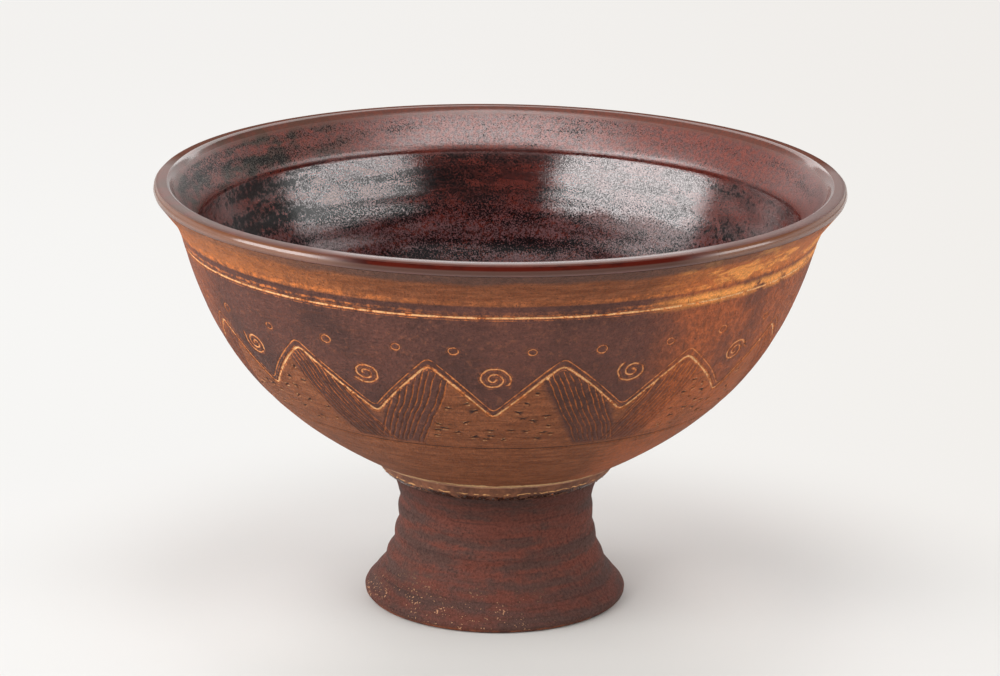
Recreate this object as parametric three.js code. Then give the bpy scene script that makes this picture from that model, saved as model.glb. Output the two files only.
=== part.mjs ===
// A wheel-thrown stoneware pedestal bowl, in millimetres, +Z up, standing on z = 0 with its axis on Z.
// It comes apart as the potter made it: a thrown bowl of clay with a flared rim, a thrown hollow
// pedestal luted under it with one coil of clay outside the seam and one inside, a thin coat of iron
// slip over the outside of the bowl, and a glossy glaze that lines the inside and laps over the lip.
import * as THREE from 'three';

// How finely the shapes are divided
const SEGMENTS = 48; // flats round the circle
const WALL_STEPS = 10;
const FLARE_STEPS = 3;
const LIP_STEPS = 4;
const LIP_EDGE_STEPS = 2;
const WELL_STEPS = 4;
const BASE_STEPS = 4;
const FOOT_STEPS = 14; // from the base to the waist, fine enough for the ridges
const HOLLOW_STEPS = 6;
const TOP_STEPS = 4;
const COIL_STEPS = 4;

// The bowl's outer surface, measured over its coats
const RIM_RADIUS = 130; // widest circle, on the lip
const RIM_HEIGHT = 165; // top of the lip
const LIP_ROUND = 2.7; // radius of the lip's outer edge
const LIP_WIDTH = 6.4; // across the top of the lip
const LIP_EDGE_ROUND = 1.5; // radius of the lip's inner edge
const LIP_EDGE_TURN = 55; // how far that edge turns down, degrees
const LIP_LEAN = 55; // slope at which the flare runs into the lip, degrees
const FLARE_REACH = 9.8; // how far the rim overhangs the neck
const FLARE_DROP = 18.5; // from the top of the lip down to the neck
const FLARE_PULL = 6; // how long the flare keeps its direction at each end
const NECK_SLOPE = 75.4; // of the wall where it meets the flare, degrees
const NECK_PULL = 49.9; // how long the wall keeps that slope
const SEAT_SLOPE = 29.5; // of the wall where it leaves the pedestal, degrees
const SEAT_PULL = 40.6; // how long the wall keeps that slope
const SEAT_RADIUS = 50; // where the wall leaves the pedestal
const SEAT_RISE = 1.2; // of that circle over the pedestal's top

// The bowl's clay
const WALL = 6.6; // from the outer surface to the inner one
const FLOOR = 7.5; // under the middle of the well
const CREASE_RISE = 1.7; // of the crease inside the rim over the neck's inner side
const WELL_START = 0.14; // where the wall turns into the well, as a share of its curve
const WELL_PULL = 16; // how long the well keeps the wall's direction
const FLOOR_PULL = 28; // how long it stays level round its middle
const EDGE_INSET = 1.2; // from the seat circle to the flat underside

// Rings cut round the outside with a pointed tool
const UPPER_RING_DROP = 22; // below the lip
const LOWER_RING_RISE = 27; // above the seat circle
const RING_WIDTH = 1.6;
const RING_DEPTH = 0.6;

// Coats
const COAT = 0.7; // slip and glaze
const GAP = 0.3; // between any two pieces

// The pedestal
const PEDESTAL_HEIGHT = 57;
const BASE_SPREAD = 0.4; // how far the foot spreads past the seat circle over it
const BASE_ROUND = 2.4; // radius of the foot's outer edge
const BASE_RING = 8; // width of the flat ring that it stands on
const BASE_LEAN = 134; // slope of the foot above its round edge, degrees
const HOLLOW_LEAN = 118; // slope of the hollow where it opens, degrees
const BASE_PULL = 12; // how long both keep that slope
const WAIST_RADIUS = 37.2;
const WAIST_HEIGHT = 39;
const WAIST_PULL = 16; // how long the waist stays upright below its middle
const TOP_RADIUS = 40.8; // the upright top, under the bowl
const TOP_LEAN = 62; // slope of the pedestal where it reaches its top, degrees
const TOP_PULL = 4.5; // how long the waist and the top keep their slopes
const PEDESTAL_WALL = 6.8;

// Ridges that the thrower's finger left round the pedestal
const LOWEST_RIDGE = 16.5; // above the ground
const RIDGE_PITCH = 9;
const RIDGE_DEPTH = 0.45;
const RIDGE_FADE = 7; // the ridges die out over this height at both ends

// The luting coils
const COIL_DROP = 6.6; // from the pedestal's top down to the outer coil's lower edge
const COIL_LOWER_REACH = 0.8; // how far that edge stands off the pedestal
const COIL_REACH = 5; // how far the outer coil stands off it under the bowl
const COIL_SWELL = 1.6; // how much the outer coil bulges
const INNER_COIL = 5; // across the quarter-round coil in the hollow

const radians = THREE.MathUtils.degToRad;
const at = (r, z) => new THREE.Vector2(r, z);

// Points along a cubic curve that leaves `from` and reaches `to` at two slopes, in degrees.
function sweep(from, fromSlope, fromPull, to, toSlope, toPull, steps) {
  const leave = at(Math.cos(radians(fromSlope)), Math.sin(radians(fromSlope)));
  const arrive = at(Math.cos(radians(toSlope)), Math.sin(radians(toSlope)));
  const curve = new THREE.CubicBezierCurve(
    from,
    from.clone().addScaledVector(leave, fromPull),
    to.clone().addScaledVector(arrive, -toPull),
    to,
  );
  return curve.getPoints(steps);
}

// Points along an arc, from one angle to another in degrees.
function arc(centre, radius, fromAngle, toAngle, steps) {
  const points = [];
  for (let i = 0; i <= steps; i++) {
    const angle = radians(THREE.MathUtils.lerp(fromAngle, toAngle, i / steps));
    points.push(at(centre.x + radius * Math.cos(angle), centre.y + radius * Math.sin(angle)));
  }
  return points;
}

// Joins stretches of an outline, each of which starts where the last one ended.
function chain(...stretches) {
  return stretches.reduce((line, stretch) => [...line, ...stretch.slice(1)]);
}

// An outline moved to its left by a distance, which on these outlines is into the clay. A point on
// the axis stays on it.
function inset(points, distance) {
  return points.map((point, i) => {
    const before = points[Math.max(i - 1, 0)];
    const after = points[Math.min(i + 1, points.length - 1)];
    const into = point.clone().sub(i > 0 ? before : point).normalize();
    const out = after.clone().sub(i < points.length - 1 ? point : before).normalize();
    const along = (i > 0 ? into : out).clone().add(out).normalize();
    const mitre = distance / Math.max(along.dot(out), 0.5);
    const x = point.x < 1e-9 ? 0 : point.x - along.y * mitre;
    return at(x, point.y + along.x * mitre);
  });
}

// The outline with a V-shaped ring cut square into it at a height.
function withRing(points, height) {
  const i = points.findIndex((point) => point.y > height);
  const share = (height - points[i - 1].y) / (points[i].y - points[i - 1].y);
  const centre = points[i - 1].clone().lerp(points[i], share);
  const along = points[i].clone().sub(points[i - 1]).normalize();
  return [
    ...points.filter((point) => point.y < height - RING_WIDTH),
    centre.clone().addScaledVector(along, -RING_WIDTH / 2),
    at(centre.x - along.y * RING_DEPTH, centre.y + along.x * RING_DEPTH),
    centre.clone().addScaledVector(along, RING_WIDTH / 2),
    ...points.filter((point) => point.y > height + RING_WIDTH),
  ];
}

// A named solid of revolution about Z.
function turned(name, outline, material) {
  const closed = outline[0].x < 1e-9 ? outline : [...outline, outline[0]];
  const mesh = new THREE.Mesh(new THREE.LatheGeometry(closed, SEGMENTS), material);
  mesh.name = name;
  mesh.rotation.x = Math.PI / 2;
  return mesh;
}

// The outer surface of the bowl, from the seat circle up to the lip.
const seat = at(SEAT_RADIUS, PEDESTAL_HEIGHT + SEAT_RISE);
const neck = at(RIM_RADIUS - FLARE_REACH, RIM_HEIGHT - FLARE_DROP);
const wall = sweep(seat, SEAT_SLOPE, SEAT_PULL, neck, NECK_SLOPE, NECK_PULL, WALL_STEPS);
const lipCentre = at(RIM_RADIUS - LIP_ROUND, RIM_HEIGHT - LIP_ROUND);
const lipOuter = arc(lipCentre, LIP_ROUND, LIP_LEAN - 90, 90, LIP_STEPS);
const flare = sweep(
  neck,
  NECK_SLOPE,
  FLARE_PULL,
  lipOuter[0],
  LIP_LEAN,
  FLARE_PULL,
  FLARE_STEPS,
);
const ringed = withRing(
  withRing(chain(wall, flare), seat.y + LOWER_RING_RISE),
  RIM_HEIGHT - UPPER_RING_DROP,
);

// The inner surface, from the lip down the flared rim, the crease, the wall and the well.
const lipEdgeCentre = at(RIM_RADIUS - LIP_WIDTH + LIP_EDGE_ROUND, RIM_HEIGHT - LIP_EDGE_ROUND);
const lipInner = arc(lipEdgeCentre, LIP_EDGE_ROUND, 90, 90 + LIP_EDGE_TURN, LIP_EDGE_STEPS);
const innerWall = inset(wall, WALL).filter((_, i) => i / WALL_STEPS > WELL_START);
const crease = innerWall.at(-1).clone().add(at(0, CREASE_RISE));
const wellSlope = innerWall[0].clone().sub(innerWall[1]).angle();
const floorCentre = at(0, PEDESTAL_HEIGHT + GAP + FLOOR);
const well = sweep(
  innerWall[0],
  THREE.MathUtils.radToDeg(wellSlope),
  WELL_PULL,
  floorCentre,
  180,
  FLOOR_PULL,
  WELL_STEPS,
);
const glazed = [...lipOuter, ...lipInner, crease, ...innerWall.toReversed(), ...well.slice(1)];
const surface = [...ringed, ...glazed.slice(1)];

// The bowl's clay lies under both coats and is flat where it sits on the pedestal.
function bowlBody() {
  const underside = PEDESTAL_HEIGHT + GAP;
  return [at(0, underside), at(SEAT_RADIUS - EDGE_INSET, underside), ...inset(surface, COAT + GAP)];
}

// The coat of slip outside, which stops a gap short of the glaze.
function exteriorSlip() {
  const under = inset(surface, COAT).slice(0, ringed.length);
  const shorten = (points) => {
    const [before, end] = points.slice(-2);
    const stop = end.clone().addScaledVector(end.clone().sub(before).normalize(), -GAP);
    return [...points.slice(0, -1), stop];
  };
  return [...shorten(ringed), ...shorten(under).reverse()];
}

// The glaze, a liner from the well to the outside of the lip.
function glazeLining() {
  const under = inset(surface, COAT).slice(ringed.length - 1);
  return [...under.reverse(), ...glazed];
}

// One side of the pedestal, up from its foot through the waist to its upright top.
function pedestalSide(foot, footLean, footSteps, waistRadius, topRadius, topDrop) {
  const waist = at(waistRadius, WAIST_HEIGHT);
  const shoulder = at(topRadius, PEDESTAL_HEIGHT - topDrop);
  return chain(
    sweep(foot, footLean, BASE_PULL, waist, 90, WAIST_PULL, footSteps),
    sweep(waist, 90, TOP_PULL, shoulder, TOP_LEAN, TOP_PULL, TOP_STEPS),
    [shoulder, at(topRadius, PEDESTAL_HEIGHT)],
  );
}

// Ridges stand on the middle of the pedestal and die out towards its foot and its top.
function ridge(z) {
  const low = LOWEST_RIDGE - RIDGE_PITCH / 2;
  const high = PEDESTAL_HEIGHT - COIL_DROP;
  const rise = THREE.MathUtils.smoothstep(z, low - RIDGE_FADE, low);
  const fall = 1 - THREE.MathUtils.smoothstep(z, high - 2 * RIDGE_FADE, high - RIDGE_FADE);
  return RIDGE_DEPTH * rise * fall * Math.cos((2 * Math.PI * (z - LOWEST_RIDGE)) / RIDGE_PITCH);
}

// The pedestal is a hollow tube, open under the foot and at its top.
function pedestal() {
  const baseCentre = at(SEAT_RADIUS + BASE_SPREAD - BASE_ROUND, BASE_ROUND);
  const baseEdge = arc(baseCentre, BASE_ROUND, -90, BASE_LEAN - 90, BASE_STEPS);
  const outer = pedestalSide(
    baseEdge.at(-1),
    BASE_LEAN,
    FOOT_STEPS,
    WAIST_RADIUS,
    TOP_RADIUS,
    COIL_DROP,
  );
  const ridged = outer.map((point) => at(point.x + ridge(point.y), point.y));
  const hollow = pedestalSide(
    at(baseCentre.x - BASE_RING, 0),
    HOLLOW_LEAN,
    HOLLOW_STEPS,
    WAIST_RADIUS - PEDESTAL_WALL,
    TOP_RADIUS - PEDESTAL_WALL,
    INNER_COIL,
  );
  return [...baseEdge, ...ridged.slice(1), ...hollow.reverse()];
}

// Clay pressed into the seam outside, between the pedestal's top and the bowl.
function outerCoil() {
  const side = TOP_RADIUS + GAP;
  const bottom = PEDESTAL_HEIGHT - COIL_DROP;
  const lower = at(side + COIL_LOWER_REACH, bottom);
  const upper = at(side + COIL_REACH, PEDESTAL_HEIGHT);
  const bulge = lower.clone().lerp(upper, 0.5).add(at(COIL_SWELL, -COIL_SWELL));
  const face = new THREE.QuadraticBezierCurve(lower, bulge, upper).getPoints(COIL_STEPS);
  return [at(side, bottom + COIL_LOWER_REACH / 2), ...face, at(side, PEDESTAL_HEIGHT)];
}

// Clay pressed into the seam inside the hollow, a quarter round.
function innerCoil() {
  const corner = at(TOP_RADIUS - PEDESTAL_WALL - GAP, PEDESTAL_HEIGHT);
  return [corner, ...arc(corner, INNER_COIL, 180, 270, COIL_STEPS)];
}

const clay = { metalness: 0, roughness: 0.85 };
const bowlClay = new THREE.MeshStandardMaterial({ color: 0x6b3f2e, ...clay });
const pedestalClay = new THREE.MeshStandardMaterial({ color: 0x63403a, ...clay });
const coilClay = new THREE.MeshStandardMaterial({ color: 0x7a5236, ...clay });
const slip = new THREE.MeshStandardMaterial({ color: 0x754a36, metalness: 0, roughness: 0.7 });
const glaze = new THREE.MeshStandardMaterial({ color: 0x43201c, metalness: 0, roughness: 0.2 });

const bowl = new THREE.Group();
bowl.add(
  turned('bowl_body', bowlBody(), bowlClay),
  turned('exterior_slip', exteriorSlip(), slip),
  turned('glaze_lining', glazeLining(), glaze),
  turned('pedestal_foot', pedestal(), pedestalClay),
  turned('outer_luting_coil', outerCoil(), coilClay),
  turned('inner_luting_coil', innerCoil(), coilClay),
);
export default bowl;
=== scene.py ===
"""Looks of a stoneware pedestal bowl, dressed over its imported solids.

Each coat's outline is read from its solid, smoothed, and turned again with the slight unevenness
of a pot thrown by hand. The band round the bowl is cut with a plain hand-drawn ornament: rings, a
zigzag, combed lines, spirals, circlets and pricked dots. Lengths are in metres, but for names that
end in _mm, for the flat plan of the band and for the finishes, which all reckon in millimetres.
"""
from __future__ import annotations

import logging
import math
import random
from dataclasses import dataclass, field
from enum import Enum
from typing import Iterator, Union

import bpy
import numpy as np
from mathutils import Matrix, Vector
from mathutils.geometry import delaunay_2d_cdt

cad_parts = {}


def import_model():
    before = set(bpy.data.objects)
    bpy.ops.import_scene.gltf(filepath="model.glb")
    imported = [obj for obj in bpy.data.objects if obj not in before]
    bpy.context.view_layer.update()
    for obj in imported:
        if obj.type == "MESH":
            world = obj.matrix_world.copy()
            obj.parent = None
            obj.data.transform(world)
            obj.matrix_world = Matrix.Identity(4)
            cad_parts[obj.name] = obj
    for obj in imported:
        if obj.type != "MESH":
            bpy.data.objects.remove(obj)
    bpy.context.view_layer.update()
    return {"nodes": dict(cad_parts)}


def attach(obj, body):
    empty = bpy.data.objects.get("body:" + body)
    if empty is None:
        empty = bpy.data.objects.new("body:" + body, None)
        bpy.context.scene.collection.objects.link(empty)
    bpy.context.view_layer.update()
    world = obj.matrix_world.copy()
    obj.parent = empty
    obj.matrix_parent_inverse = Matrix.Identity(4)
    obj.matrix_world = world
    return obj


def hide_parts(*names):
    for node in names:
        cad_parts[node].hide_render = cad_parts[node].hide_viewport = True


LOG = logging.getLogger("pedestal_bowl")

MM = 0.001
MICRON = 1e-6
POT_HEIGHT = 0.165
RIM_RADIUS = 0.130

Point = tuple[float, float]
Colour = tuple[float, float, float, float]
Feed = Union["Signal", bpy.types.NodeSocket, bpy.types.ID, float, int, bool, str,
             tuple[float, ...]]
Feeds = dict[Union[str, int], Feed]


def paint(red: int, green: int, blue: int) -> Colour:
    """Turns a colour as a painter's chart gives it, 0 to 255, into linear light.

    Args:
        red: The red channel.
        green: The green channel.
        blue: The blue channel.

    Returns:
        The colour, with full cover.
    """
    def linear(value: float) -> float:
        """Returns one channel as linear light."""
        share = value / 255.0
        return share / 12.92 if share <= 0.04045 else ((share + 0.055) / 1.055) ** 2.4

    return linear(red), linear(green), linear(blue), 1.0


class Facing(Enum):
    """Which way the buried side of a coat looks."""

    UP = 1.0
    DOWN = -1.0
    NOWHERE = 0.0


class Signal:
    """What comes out of a node: a number, a colour or a vector to reckon with."""

    def __init__(self, bench: Bench, socket: bpy.types.NodeSocket) -> None:
        """Keeps the node's socket and the bench that it lies on."""
        self.bench = bench
        self.socket = socket

    def __add__(self, other: Feed) -> Signal:
        """Returns the sum."""
        return self.bench.math("ADD", self, other)

    def __sub__(self, other: Feed) -> Signal:
        """Returns the difference."""
        return self.bench.math("SUBTRACT", self, other)

    def __rsub__(self, other: Feed) -> Signal:
        """Returns what this number leaves of another."""
        return self.bench.math("SUBTRACT", other, self)

    def __mul__(self, other: Feed) -> Signal:
        """Returns the product."""
        return self.bench.math("MULTIPLY", self, other)

    def __truediv__(self, other: Feed) -> Signal:
        """Returns the quotient."""
        return self.bench.math("DIVIDE", self, other)

    def __neg__(self) -> Signal:
        """Returns the number with its sign turned."""
        return self * -1.0

    def __abs__(self) -> Signal:
        """Returns the number without its sign."""
        return self.bench.math("ABSOLUTE", self)

    def at_least(self, other: Feed) -> Signal:
        """Returns the larger of two numbers."""
        return self.bench.math("MAXIMUM", self, other)

    def at_most(self, other: Feed) -> Signal:
        """Returns the smaller of two numbers."""
        return self.bench.math("MINIMUM", self, other)

    def ease(self, start: float, end: float, low: float = 0.0, high: float = 1.0) -> Signal:
        """Passes smoothly from one level to another while this number goes from start to end.

        Args:
            start: Where the passage starts; it may lie above its end.
            end: Where the passage ends.
            low: The level at the start.
            high: The level at the end.

        Returns:
            The level.
        """
        if start > end:
            start, end, low, high = end, start, high, low
        feeds = {"Value": self, "From Min": start, "From Max": end, "To Min": low,
                 "To Max": high}
        return self.bench.get("ShaderNodeMapRange", feeds, interpolation_type="SMOOTHSTEP")

    def line(self, level: float, edge: float, core: float) -> Signal:
        """Marks a line at one level, full within its core and gone beyond its edge."""
        return abs(self - level).ease(edge, core)

    def under(self, over: Feed, share: Feed) -> Signal:
        """Returns this colour with another laid over it in some share."""
        return self.bench.blend(share, self, over)


class Bench:
    """A workbench for one node tree: it adds nodes, fills their sockets and joins them."""

    def __init__(self, tree: bpy.types.NodeTree) -> None:
        """Keeps the tree to work on."""
        self.tree = tree

    def add(self, kind: str, feeds: Feeds | None = None, **settings: object) -> bpy.types.Node:
        """Adds a node with its settings and fills its sockets.

        Args:
            kind: Blender's name for the node's type.
            feeds: What goes into each socket, a value or what comes out of another node.
            **settings: Properties of the node itself.

        Returns:
            The new node.
        """
        node = self.tree.nodes.new(kind)
        for name, value in settings.items():
            setattr(node, name, value)
        for key, feed in (feeds or {}).items():
            self.fill(node.inputs[key], feed)
        return node

    def get(self, kind: str, feeds: Feeds | None = None, output: str | int = 0,
            **settings: object) -> Signal:
        """Adds a node in the same way, and returns one thing that comes out of it."""
        return Signal(self, self.add(kind, feeds, **settings).outputs[output])

    def fill(self, socket: bpy.types.NodeSocket, feed: Feed) -> None:
        """Joins an output to a socket, or writes a plain value on it.

        Args:
            socket: The socket to fill.
            feed: What goes into it.
        """
        if isinstance(feed, Signal):
            feed = feed.socket
        if isinstance(feed, bpy.types.NodeSocket):
            self.tree.links.new(feed, socket)
        else:
            socket.default_value = feed

    def inputs(self) -> dict[str, Signal]:
        """Returns what goes into the tree itself, by name."""
        sockets = self.add("NodeGroupInput").outputs
        return {socket.name: Signal(self, socket) for socket in sockets if socket.name}

    def math(self, operation: str, *values: Feed, clamp: bool = False) -> Signal:
        """Works out a number from numbers.

        Args:
            operation: The kind of sum, as Blender names it.
            *values: The numbers, in the node's order.
            clamp: Whether the result is kept between 0 and 1.

        Returns:
            The result.
        """
        return self.get("ShaderNodeMath", dict(enumerate(values)), operation=operation,
                        use_clamp=clamp)

    def vector(self, operation: str, *values: Feed) -> Signal:
        """Works out a vector, or for DOT_PRODUCT and LENGTH a number, from vectors.

        Args:
            operation: The kind of sum, as Blender names it; SCALE takes its number second.
            *values: What the sum is made of, in the node's order.

        Returns:
            The result.
        """
        feeds: Feeds = dict(enumerate(values))
        if operation == "SCALE":
            feeds = {0: values[0], "Scale": values[1]}
        output = "Value" if operation in ("DOT_PRODUCT", "LENGTH") else 0
        return self.get("ShaderNodeVectorMath", feeds, output, operation=operation)

    def split(self, vector: Feed) -> tuple[Signal, ...]:
        """Returns the three parts of a vector."""
        parts = self.add("ShaderNodeSeparateXYZ", {0: vector}).outputs
        return tuple(Signal(self, part) for part in parts)

    def join(self, x: Feed, y: Feed, z: Feed) -> Signal:
        """Returns a vector made of its three parts."""
        return self.get("ShaderNodeCombineXYZ", {0: x, 1: y, 2: z})

    def round_axis(self, radius: Signal, turn: Signal, height: Feed) -> Signal:
        """Returns the place at a radius, a turn to the right of the front and a height."""
        return self.join(radius * self.math("SINE", turn), -radius * self.math("COSINE", turn),
                         height)

    def noise(self, place: Feed, size_mm: float, detail: float, rough: float = 0.5) -> Signal:
        """Gives soft noise of one grain size.

        Args:
            place: Where the noise is read, in millimetres.
            size_mm: About how wide one blotch of it is.
            detail: How many finer layers lie on the first.
            rough: How strong the finer layers are.

        Returns:
            The noise, about 0.5 in the middle.
        """
        return self.get("ShaderNodeTexNoise", {"Vector": place, "Scale": 0.5 / size_mm,
                                               "Detail": detail, "Roughness": rough})

    def blend(self, share: Feed, first: Feed, second: Feed) -> Signal:
        """Returns the first colour turning into the second as the share goes from 0 to 1."""
        return self.get("ShaderNodeMix", {0: share, 6: first, 7: second}, 2, data_type="RGBA")


@dataclass(frozen=True)
class Wobble:
    """How far the pot departs from a true turned form."""

    oval: float = 0.00050
    lobe: float = 0.00055
    lean: float = 0.00045
    uneven: float = 0.00016

    NAMES = ("Oval", "Lobe", "Lean", "Unevenness")
    PHASE = 0.1
    SOFT_MM = 30.0
    INNER_RADIUS = 0.02

    def feeds(self) -> dict[str, float]:
        """Returns the amounts by their input's name."""
        return dict(zip(self.NAMES, (self.oval, self.lobe, self.lean, self.uneven)))

    @classmethod
    def group(cls) -> bpy.types.NodeTree:
        """Builds, once for all coats, the nodes that move a true place to its place on the pot.

        Returns:
            The group of nodes.
        """
        name = "hand_thrown_place"
        if name in bpy.data.node_groups:
            return bpy.data.node_groups[name]
        tree = bpy.data.node_groups.new(name, "GeometryNodeTree")
        for way in ("INPUT", "OUTPUT"):
            tree.interface.new_socket("Place", in_out=way, socket_type="NodeSocketVector")
        for amount in cls.NAMES:
            tree.interface.new_socket(amount, in_out="INPUT", socket_type="NodeSocketFloat")
        bench = Bench(tree)
        given = bench.inputs()
        x, y, z = bench.split(given["Place"])
        radius = bench.math("SQRT", x * x + y * y)
        turn = bench.math("ARCTAN2", y, x)
        height = z / POT_HEIGHT
        growth = height * height
        oval, lobe = (bench.math("COSINE", turn * waves + cls.PHASE) for waves in (2.0, 3.0))
        swell = oval * given["Oval"] + lobe * given["Lobe"]
        soft = bench.noise(bench.vector("SCALE", given["Place"], 1 / MM), cls.SOFT_MM, 1.0)
        push = swell * growth + (soft - 0.5) * given["Unevenness"]
        scale = push / radius.at_least(cls.INNER_RADIUS) + 1.0
        drop = y * growth * (given["Lean"] / RIM_RADIUS)
        bench.add("NodeGroupOutput", {0: bench.join(x * scale, y * scale, z - drop)})
        return tree


@dataclass(frozen=True)
class Ridges:
    """The spiral ridges that fingers leave, and the heights between which they show."""

    pitch: float = 9 * MM
    depth: float = 0.0
    crest: float = 0.0
    low: float = 0.0
    rise: float = 1.0
    high: float = 1.0
    fall: float = 1.0

    def at(self, height: float) -> float:
        """Returns how strongly the ridges show at a height, from 0 to 1."""
        rise = min(1.0, max(0.0, (height - self.low) / self.rise))
        return rise * min(1.0, max(0.0, (self.high - height) / self.fall))

    def feeds(self) -> dict[str, float]:
        """Returns the sizes by their input's name in the turning tree."""
        return {"Ridge Pitch": self.pitch, "Ridge Depth": self.depth, "Ridge Start": self.crest}


class PottersTree(Bench):
    """A Geometry Nodes tree with named inputs, and the plain mesh that comes out of it."""

    name = "potters_tree"
    sockets: dict[str, str] = {}

    def __init__(self) -> None:
        """Opens the tree with its inputs and lets the kind of tree fill it."""
        super().__init__(bpy.data.node_groups.new(self.name, "GeometryNodeTree"))
        face = self.tree.interface
        face.new_socket("Geometry", in_out="OUTPUT", socket_type="NodeSocketGeometry")
        inputs = {"Geometry": "Geometry", **dict.fromkeys(Wobble.NAMES, "Float"),
                  **self.sockets, "Finish": "Material"}
        for name, kind in inputs.items():
            face.new_socket(name, in_out="INPUT", socket_type="NodeSocket" + kind)
        self.given = self.inputs()
        self.draw()

    def draw(self) -> None:
        """Adds the nodes between the inputs and the output."""
        raise NotImplementedError

    def here(self) -> Signal:
        """Returns the place of each point of the geometry in hand."""
        return self.get("GeometryNodeInputPosition")

    def named(self, name: str, kind: str = "FLOAT") -> Signal:
        """Returns a named attribute of the geometry in hand."""
        return self.get("GeometryNodeInputNamedAttribute", {"Name": name}, data_type=kind)

    def pick(self, shape: Feed, value: Feed, index: Feed, **kind: str) -> Signal:
        """Returns the value at one numbered point or edge of a shape."""
        return self.get("GeometryNodeSampleIndex",
                        {"Geometry": shape, "Value": value, "Index": index}, **kind)

    def thrown(self, shape: Feed, place: Feed) -> Signal:
        """Moves a shape's points to the places on the pot of places on the true turned form.

        Args:
            shape: The shape to move.
            place: Where its points are on the true form.

        Returns:
            The moved shape.
        """
        feeds = {"Place": place, **{name: self.given[name] for name in Wobble.NAMES}}
        moved = self.get("GeometryNodeGroup", feeds, node_tree=Wobble.group())
        return self.get("GeometryNodeSetPosition", {"Geometry": shape, "Position": moved})

    def merged(self, shape: Feed, distance: float) -> Signal:
        """Closes a shape's seams."""
        return self.get("GeometryNodeMergeByDistance", {"Geometry": shape, "Distance": distance})

    def end(self, shape: Feed) -> None:
        """Closes the tree: real mesh, smooth faces and the finish.

        Args:
            shape: What comes out of the tree, not yet dressed.
        """
        for kind in ("GeometryNodeRealizeInstances", "GeometryNodeSetShadeSmooth"):
            shape = self.get(kind, {"Geometry": shape})
        dressed = self.get("GeometryNodeSetMaterial",
                           {"Geometry": shape, "Material": self.given["Finish"]})
        self.add("NodeGroupOutput", {0: dressed})

    def cast(self, name: str, start: bpy.types.Mesh, feeds: dict[str, Feed],
             finish: bpy.types.Material, wobble: Wobble) -> bpy.types.Object:
        """Runs the tree on a mesh and keeps the result as a plain piece.

        Args:
            name: The new piece's name.
            start: The mesh that goes in.
            feeds: What goes into the tree's own inputs, by name.
            finish: The material that the piece gets.
            wobble: How uneven the pot is.

        Returns:
            The piece, with no modifier left on it.
        """
        holder = linked(name + "_start", start)
        modifier = holder.modifiers.new(self.name, "NODES")
        modifier.node_group = self.tree
        everything: dict[str, Feed] = {**wobble.feeds(), **feeds, "Finish": finish}
        for item in self.tree.interface.items_tree:
            if item.in_out == "INPUT" and item.name in everything:
                modifier[item.identifier] = everything[item.name]
        graph = bpy.context.evaluated_depsgraph_get()
        seen = holder.evaluated_get(graph)
        mesh = bpy.data.meshes.new_from_object(seen, preserve_all_data_layers=True,
                                               depsgraph=graph)
        mesh.name = name
        bpy.data.objects.remove(holder, do_unlink=True)
        bpy.data.meshes.remove(start)
        return linked(name, mesh)


def linked(name: str, data: bpy.types.ID) -> bpy.types.Object:
    """Makes an object of a mesh, lamp or camera, puts it in the scene and returns it.

    Args:
        name: The object's name.
        data: The mesh, the lamp or the camera.

    Returns:
        The object.
    """
    holder = bpy.data.objects.new(name, data)
    bpy.context.scene.collection.objects.link(holder)
    return holder


class TurningTree(PottersTree):
    """Turns an outline about the axis, with the spiral ridges that fingers leave."""

    name = "turning_on_the_wheel"
    sockets = {"Around": "Int", "Rows": "Int", "Points": "Int", "Ridge Pitch": "Float",
               "Ridge Depth": "Float", "Ridge Start": "Float"}
    SEAM = 8 * MICRON

    def draw(self) -> None:
        """Lays a grid of turns and rows over the outline's points."""
        given = self.given
        around, outline = given["Around"], given["Geometry"]
        last_row = given["Rows"] - 1.0
        grid = self.get("GeometryNodeMeshGrid",
                        {"Size X": around, "Size Y": last_row, "Vertices X": around + 1.0,
                         "Vertices Y": given["Rows"]})
        x, y, _ = self.split(self.here())
        column, row = (self.math("FLOORED_MODULO", self.math("ROUND", last * 0.5 + step), count)
                       for last, step, count in ((around, x, around),
                                                 (last_row, y, given["Points"])))
        turn = column * math.tau / around
        place = self.pick(outline, self.here(), row, data_type="FLOAT_VECTOR")
        outward = self.pick(outline, self.named("outward", "FLOAT_VECTOR"), row,
                            data_type="FLOAT_VECTOR")
        strength = self.pick(outline, self.named("ridge"), row)
        _, _, z = self.split(place)
        climb = (z - given["Ridge Start"]) / given["Ridge Pitch"]
        wave = self.math("COSINE", climb * math.tau - (turn + math.pi / 2))
        rise = wave * strength * given["Ridge Depth"]
        place = self.vector("ADD", place, self.vector("SCALE", outward, rise))
        radius, _, height = self.split(place)
        shape = self.thrown(grid, self.round_axis(radius, turn, height))
        self.end(self.merged(shape, self.SEAM))


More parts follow.
